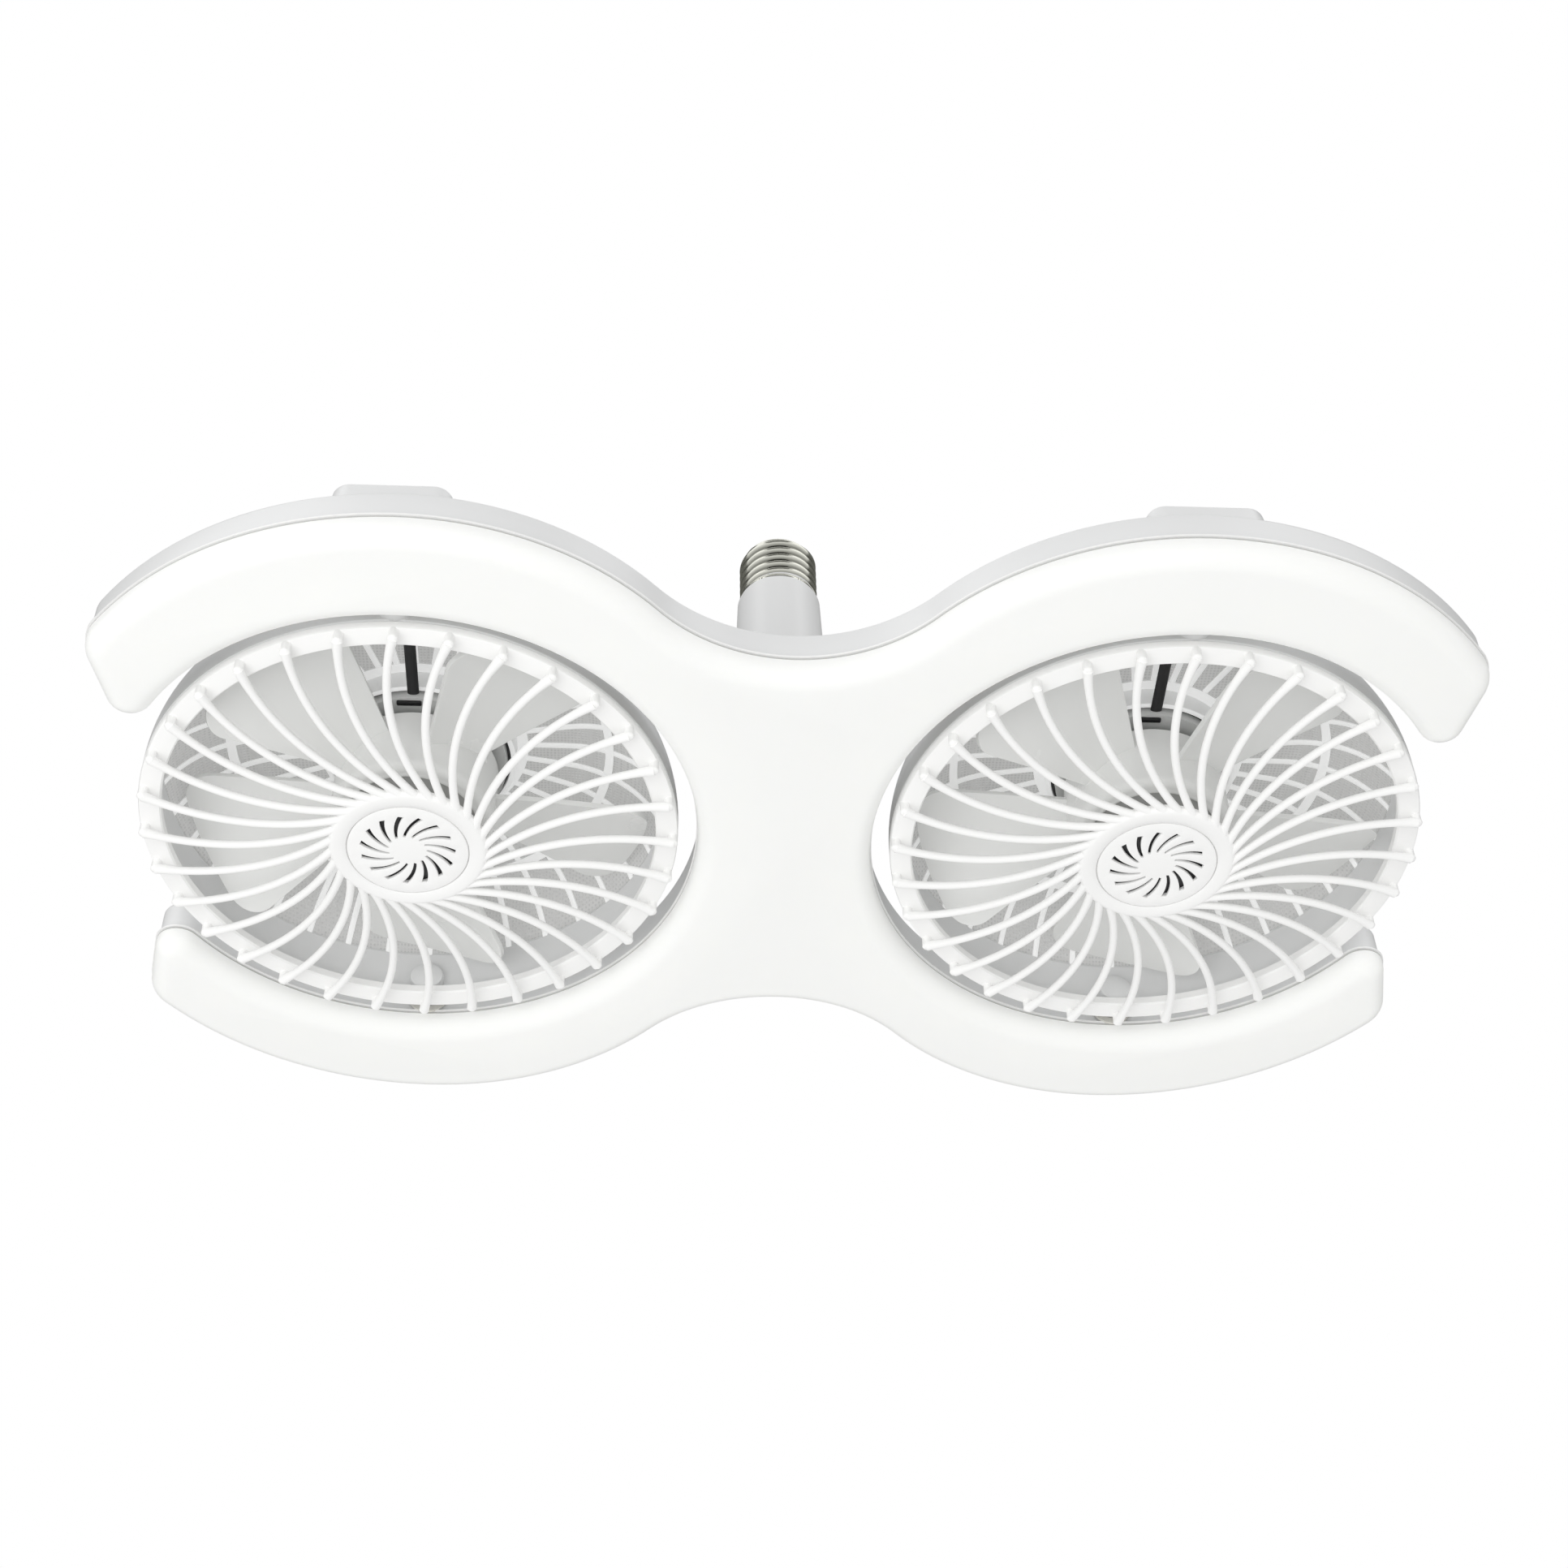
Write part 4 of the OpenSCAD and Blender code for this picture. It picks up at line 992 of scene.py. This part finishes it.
# %% Helpers: the blade's width, and its height
def half_width(radius):
    """Half the angle that the blade spans at a distance from the axis."""
    if radius <= touch_r:
        return blade_half_turn
    reach = (corner_at ** 2 + radius ** 2 - blade_tip_round ** 2) / (2 * corner_at * radius)
    return corner_turn + acos(min(1.0, reach))


def on_sheet(x, y):
    """The point of the pitched, cambered sheet above (x, y)."""
    across = y / cos(blade_pitch)
    for _ in range(6):
        rise = sqrt(blade_camber_r ** 2 - across ** 2) - blade_camber_r
        across = (y + rise * sin(blade_pitch)) / cos(blade_pitch)
    return x, y, blade_root_z + across * sin(blade_pitch) + rise * cos(blade_pitch)


# %% Blades
pick()
bpy.ops.mesh.primitive_grid_add(x_subdivisions=40, y_subdivisions=36, size=2)
blade = start("blade")
for vertex in blade.data.vertices:
    along = sin((vertex.co.x + 1) * pi / 4)
    radius = blade_root_r + (blade_tip_r - blade_root_r) * along
    turn = vertex.co.y * half_width(radius)
    vertex.co = Vector(on_sheet(radius * cos(turn), radius * sin(turn))) * MM
edit(blade)
tidy(blade)
modify(blade, "SOLIDIFY", thickness=blade_t * MM, offset=0, use_even_offset=True)
modify(blade, "BEVEL", width=blade_edge * MM, segments=3, limit_method="ANGLE",
       angle_limit=radians(50))
blade_set = ring_of(blade, blade_count, "blade_set", blade_rest_turn)

# %% Rotor hub, and the rotor
recess_r, recess_depth = 20.4, 1.4
recess_z, hub_floor_z = rotor_front_z + recess_depth, rotor_front_z + hub_round
hub_flat_r, hub_in_r = rotor_hub_r - hub_round, rotor_hub_r - hub_wall
rotor_hub = turned("rotor_hub", [
    (hub_bore_r, recess_z), (recess_r - 0.9, recess_z), (recess_r - 0.4, rotor_front_z + 0.1),
    (recess_r, rotor_front_z - 0.2), (recess_r + 0.7, rotor_front_z - 0.2),
    (recess_r + 1, rotor_front_z), (hub_flat_r, rotor_front_z),
    *bend((hub_flat_r, hub_floor_z), hub_round, -90, 0, 8)[1:],
    (rotor_hub_r, rotor_back_z), (hub_in_r, rotor_back_z), (hub_in_r, hub_floor_z),
    (hub_bore_r, hub_floor_z)], steps=120)
fan_rotor = join([rotor_hub, blade_set], "fan_rotor")
smooth(fan_rotor, 40)
# Painted shade: the rotor's colour is darker inside the rim of the hub's recess.
shade_wall(smoke_rotor, (0.45, 0.45, 0.44), head_x, (recess_r - 0.3, recess_r - 0.6), everywhere,
           amount=0.9)
both_heads(fan_rotor, smoke_rotor, "rotor", "rotor")

# %% Painted shade: a black ring stands for the dark gap round each motor's collar
gap_shade = turned("gap_shade", [(27.5, 39), (28.5, 39), (28.5, 39.6), (27.5, 39.6)], steps=96)
both_heads(gap_shade, black_parts, "head")

# %% [markdown]
# ## The screw cap
# The cap's thread is a true helix. An open line of points shapes one pitch of the rolled thread,
# and the Screw modifier sweeps it round and up at the same time. Two cuts with Bisect give the
# ends, and turned rings close it below and above. Painted shade makes the grooves darker than the
# crests.

# %% Sizes of the cap
cap_r, cap_shell_h, cap_h = 13.1, 21, 27
thread_pitch, thread_depth, thread_turns = 3.63, 1.15, 7
thread_low, thread_high = 2.2, cap_shell_h - 0.4
pitch_points = 12
print("thread:", thread_turns, "turns of", thread_pitch, "mm")

# %% Thread
thread = outline("thread", [
    (cap_r - thread_depth * (0.5 - 0.5 * cos(2 * pi * i / pitch_points)), 0,
     -1.5 + thread_pitch * i / pitch_points) for i in range(pitch_points + 1)], closed=False)
modify(thread, "SCREW", angle=2 * pi, screw_offset=thread_pitch * MM, iterations=thread_turns,
       steps=96, render_steps=96, axis="Z", use_merge_vertices=True, merge_threshold=0.001 * MM)
edit(thread)
bpy.ops.mesh.bisect(plane_co=(0, 0, thread_low * MM), plane_no=(0, 0, 1), clear_inner=True)
bpy.ops.mesh.select_all(action="SELECT")
bpy.ops.mesh.bisect(plane_co=(0, 0, thread_high * MM), plane_no=(0, 0, 1), clear_outer=True)
tidy(thread)
modify(thread, "SOLIDIFY", thickness=0.35 * MM, offset=-1)

# %% Collar and shoulder of the cap
collar = turned("collar", [
    (cap_r - 0.8, 0), (cap_r - 0.3, 0), (cap_r, 0.3), (cap_r, 1.3), (cap_r - 0.35, 1.7),
    (cap_r - 0.45, 2.4), (cap_r - 1.5, 2.4), (cap_r - 0.8, 1.2)], steps=128)
shoulder_ring = turned("shoulder_ring", [
    (cap_r - 1.6, thread_high - 0.5), (cap_r - 0.9, thread_high - 0.5),
    (cap_r - 1.0, cap_shell_h + 0.3), *bend((cap_r - 2.4, cap_shell_h + 0.3), 1.3, 0, 60, 5),
    (7.9, cap_shell_h + 2.6), (7.4, cap_shell_h + 2.4), (7.4, cap_shell_h + 2.0),
    (cap_r - 2.6, cap_shell_h + 0.6)], steps=128)

# %% Crimp dents: where the cap is punched onto the neck
crimp_count, crimp_z = 6, 0.95
pick()
bpy.ops.mesh.primitive_uv_sphere_add(segments=20, ring_count=12, radius=1)
crimp = start("crimp")
for vertex in crimp.data.vertices:
    vertex.co = Vector((cap_r - 0.1 + 0.25 * vertex.co.x, 0.75 * vertex.co.y,
                        crimp_z + 0.6 * vertex.co.z)) * MM
crimps = ring_of(crimp, crimp_count, "crimps")
screw_cap = join([thread, collar, shoulder_ring, crimps], "screw_cap")
smooth(screw_cap, 45)
settle(screw_cap)
# Painted shade: what lies deeper than the crests, below the shoulder, is darkened.
shade_wall(nickel_cap, (0.13, 0.13, 0.11), 0, (cap_r - 0.2, cap_r - 1.0),
           (cap_shell_h - 0.2, cap_shell_h - 0.7), amount=0.85)
dress(screw_cap, nickel_cap, "lamp_body", "cap_shell")

# %% Insulator and contact
insulator = turned("cap_glass", [
    (2, cap_shell_h), (7.35, cap_shell_h), (7.35, cap_shell_h + 2.3),
    *bend((6.6, cap_shell_h + 2.3), 0.75, 0, 50, 4), (5.2, cap_h - 1.3), (4.9, cap_h - 1.2),
    (2, cap_h - 1.2)])
contact = turned("cap_tip", [
    (0, cap_h), (1.6, cap_h - 0.06), (3.2, cap_h - 0.3), (4.2, cap_h - 0.7), (4.6, cap_h - 1.15),
    (4.5, cap_h - 1.25), (2, cap_h - 1.25), (2, cap_shell_h - 1), (0, cap_shell_h - 1)],
    steps=64, closed=False)
for piece, finish, replaced, angle in ((insulator, black_insulator, "cap_insulator", 40),
                                       (contact, contact_metal, "cap_contact", 50)):
    smooth(piece, angle)
    settle(piece)
    dress(piece, finish, "lamp_body", replaced)

# %% [markdown]
# ## The leads
# A flat black lead runs from the near trunnion up the guard's wall and in to the motor. A curve
# with a round cross-section follows the lead's points, and its mesh is widened into a flat lead.

# %% Leads
lead_w, lead_t = 3.6, 1.8
lead_path = [(boss_in_y - 1.1, pivot_z - 1.2), (boss_in_y - 1.1, pivot_z + 9.8),
             (boss_in_y - 2.8, pivot_z + 13), (boss_in_y - 5, pivot_z + 16.4),
             (vent_mid_r, 35.1), (30, 35.1)]


def cut_corners(points, share=0.22, rounds=3):
    """Softens a path's corners and keeps its ends."""
    for _ in range(rounds):
        softer = [points[0]]
        for (y0, z0), (y1, z1) in zip(points, points[1:]):
            softer += [(y0 + (y1 - y0) * part, z0 + (z1 - z0) * part)
                       for part in (share, 1 - share)]
        points = softer + [points[-1]]
    return points


soft_path = cut_corners(lead_path)
pick()
bpy.ops.curve.primitive_nurbs_path_add()
lead = start("flat_lead")
lead.data.splines.clear()
spline = lead.data.splines.new("POLY")
spline.points.add(len(soft_path) - 1)
for point, (y, z) in zip(spline.points, soft_path):
    point.co = (0, -y * MM, z * MM, 1)
lead.data.dimensions = "3D"
lead.data.bevel_depth = lead_t / 2 * MM
lead.data.bevel_resolution = 4
lead.data.use_fill_caps = True
bpy.ops.object.convert(target="MESH")
lead = start("flat_lead")
for vertex in lead.data.vertices:
    vertex.co.x *= lead_w / lead_t
edit(lead)
tidy(lead)

# %% The lead's end in the trunnion
feed_end = turned("feed_end", [
    (0, boss_in_y - 2), (2.1, boss_in_y - 2), (2.3, boss_in_y - 1.8), (2.3, boss_out_y + 4),
    (0, boss_out_y + 4)], steps=24, closed=False)
feed_end.data.transform(Matrix.Translation((0, 0, pivot_z * MM))
                        @ Matrix.Rotation(pi / 2, 4, "X"))
flat_lead = join([lead, feed_end], "flat_lead")
smooth(flat_lead, 50)
both_heads(flat_lead, black_lead, "head", "motor_lead")

# %% Grommets: where the leads enter the motors
pick()
bpy.ops.mesh.primitive_cube_add(size=2)
grommet = start("grommet")
for vertex in grommet.data.vertices:
    vertex.co = Vector((-1.6 + 3.8 * vertex.co.x, -25.6 + 0.9 * vertex.co.y,
                        35.3 + 0.5 * vertex.co.z)) * MM
edit(grommet)
tidy(grommet)
modify(grommet, "BEVEL", width=0.4 * MM, segments=3)
smooth(grommet, 40)
both_heads(grommet, black_lead, "head")

# %% [markdown]
# ## Finish

# %% Bring the view layer up to date
bpy.context.view_layer.update()
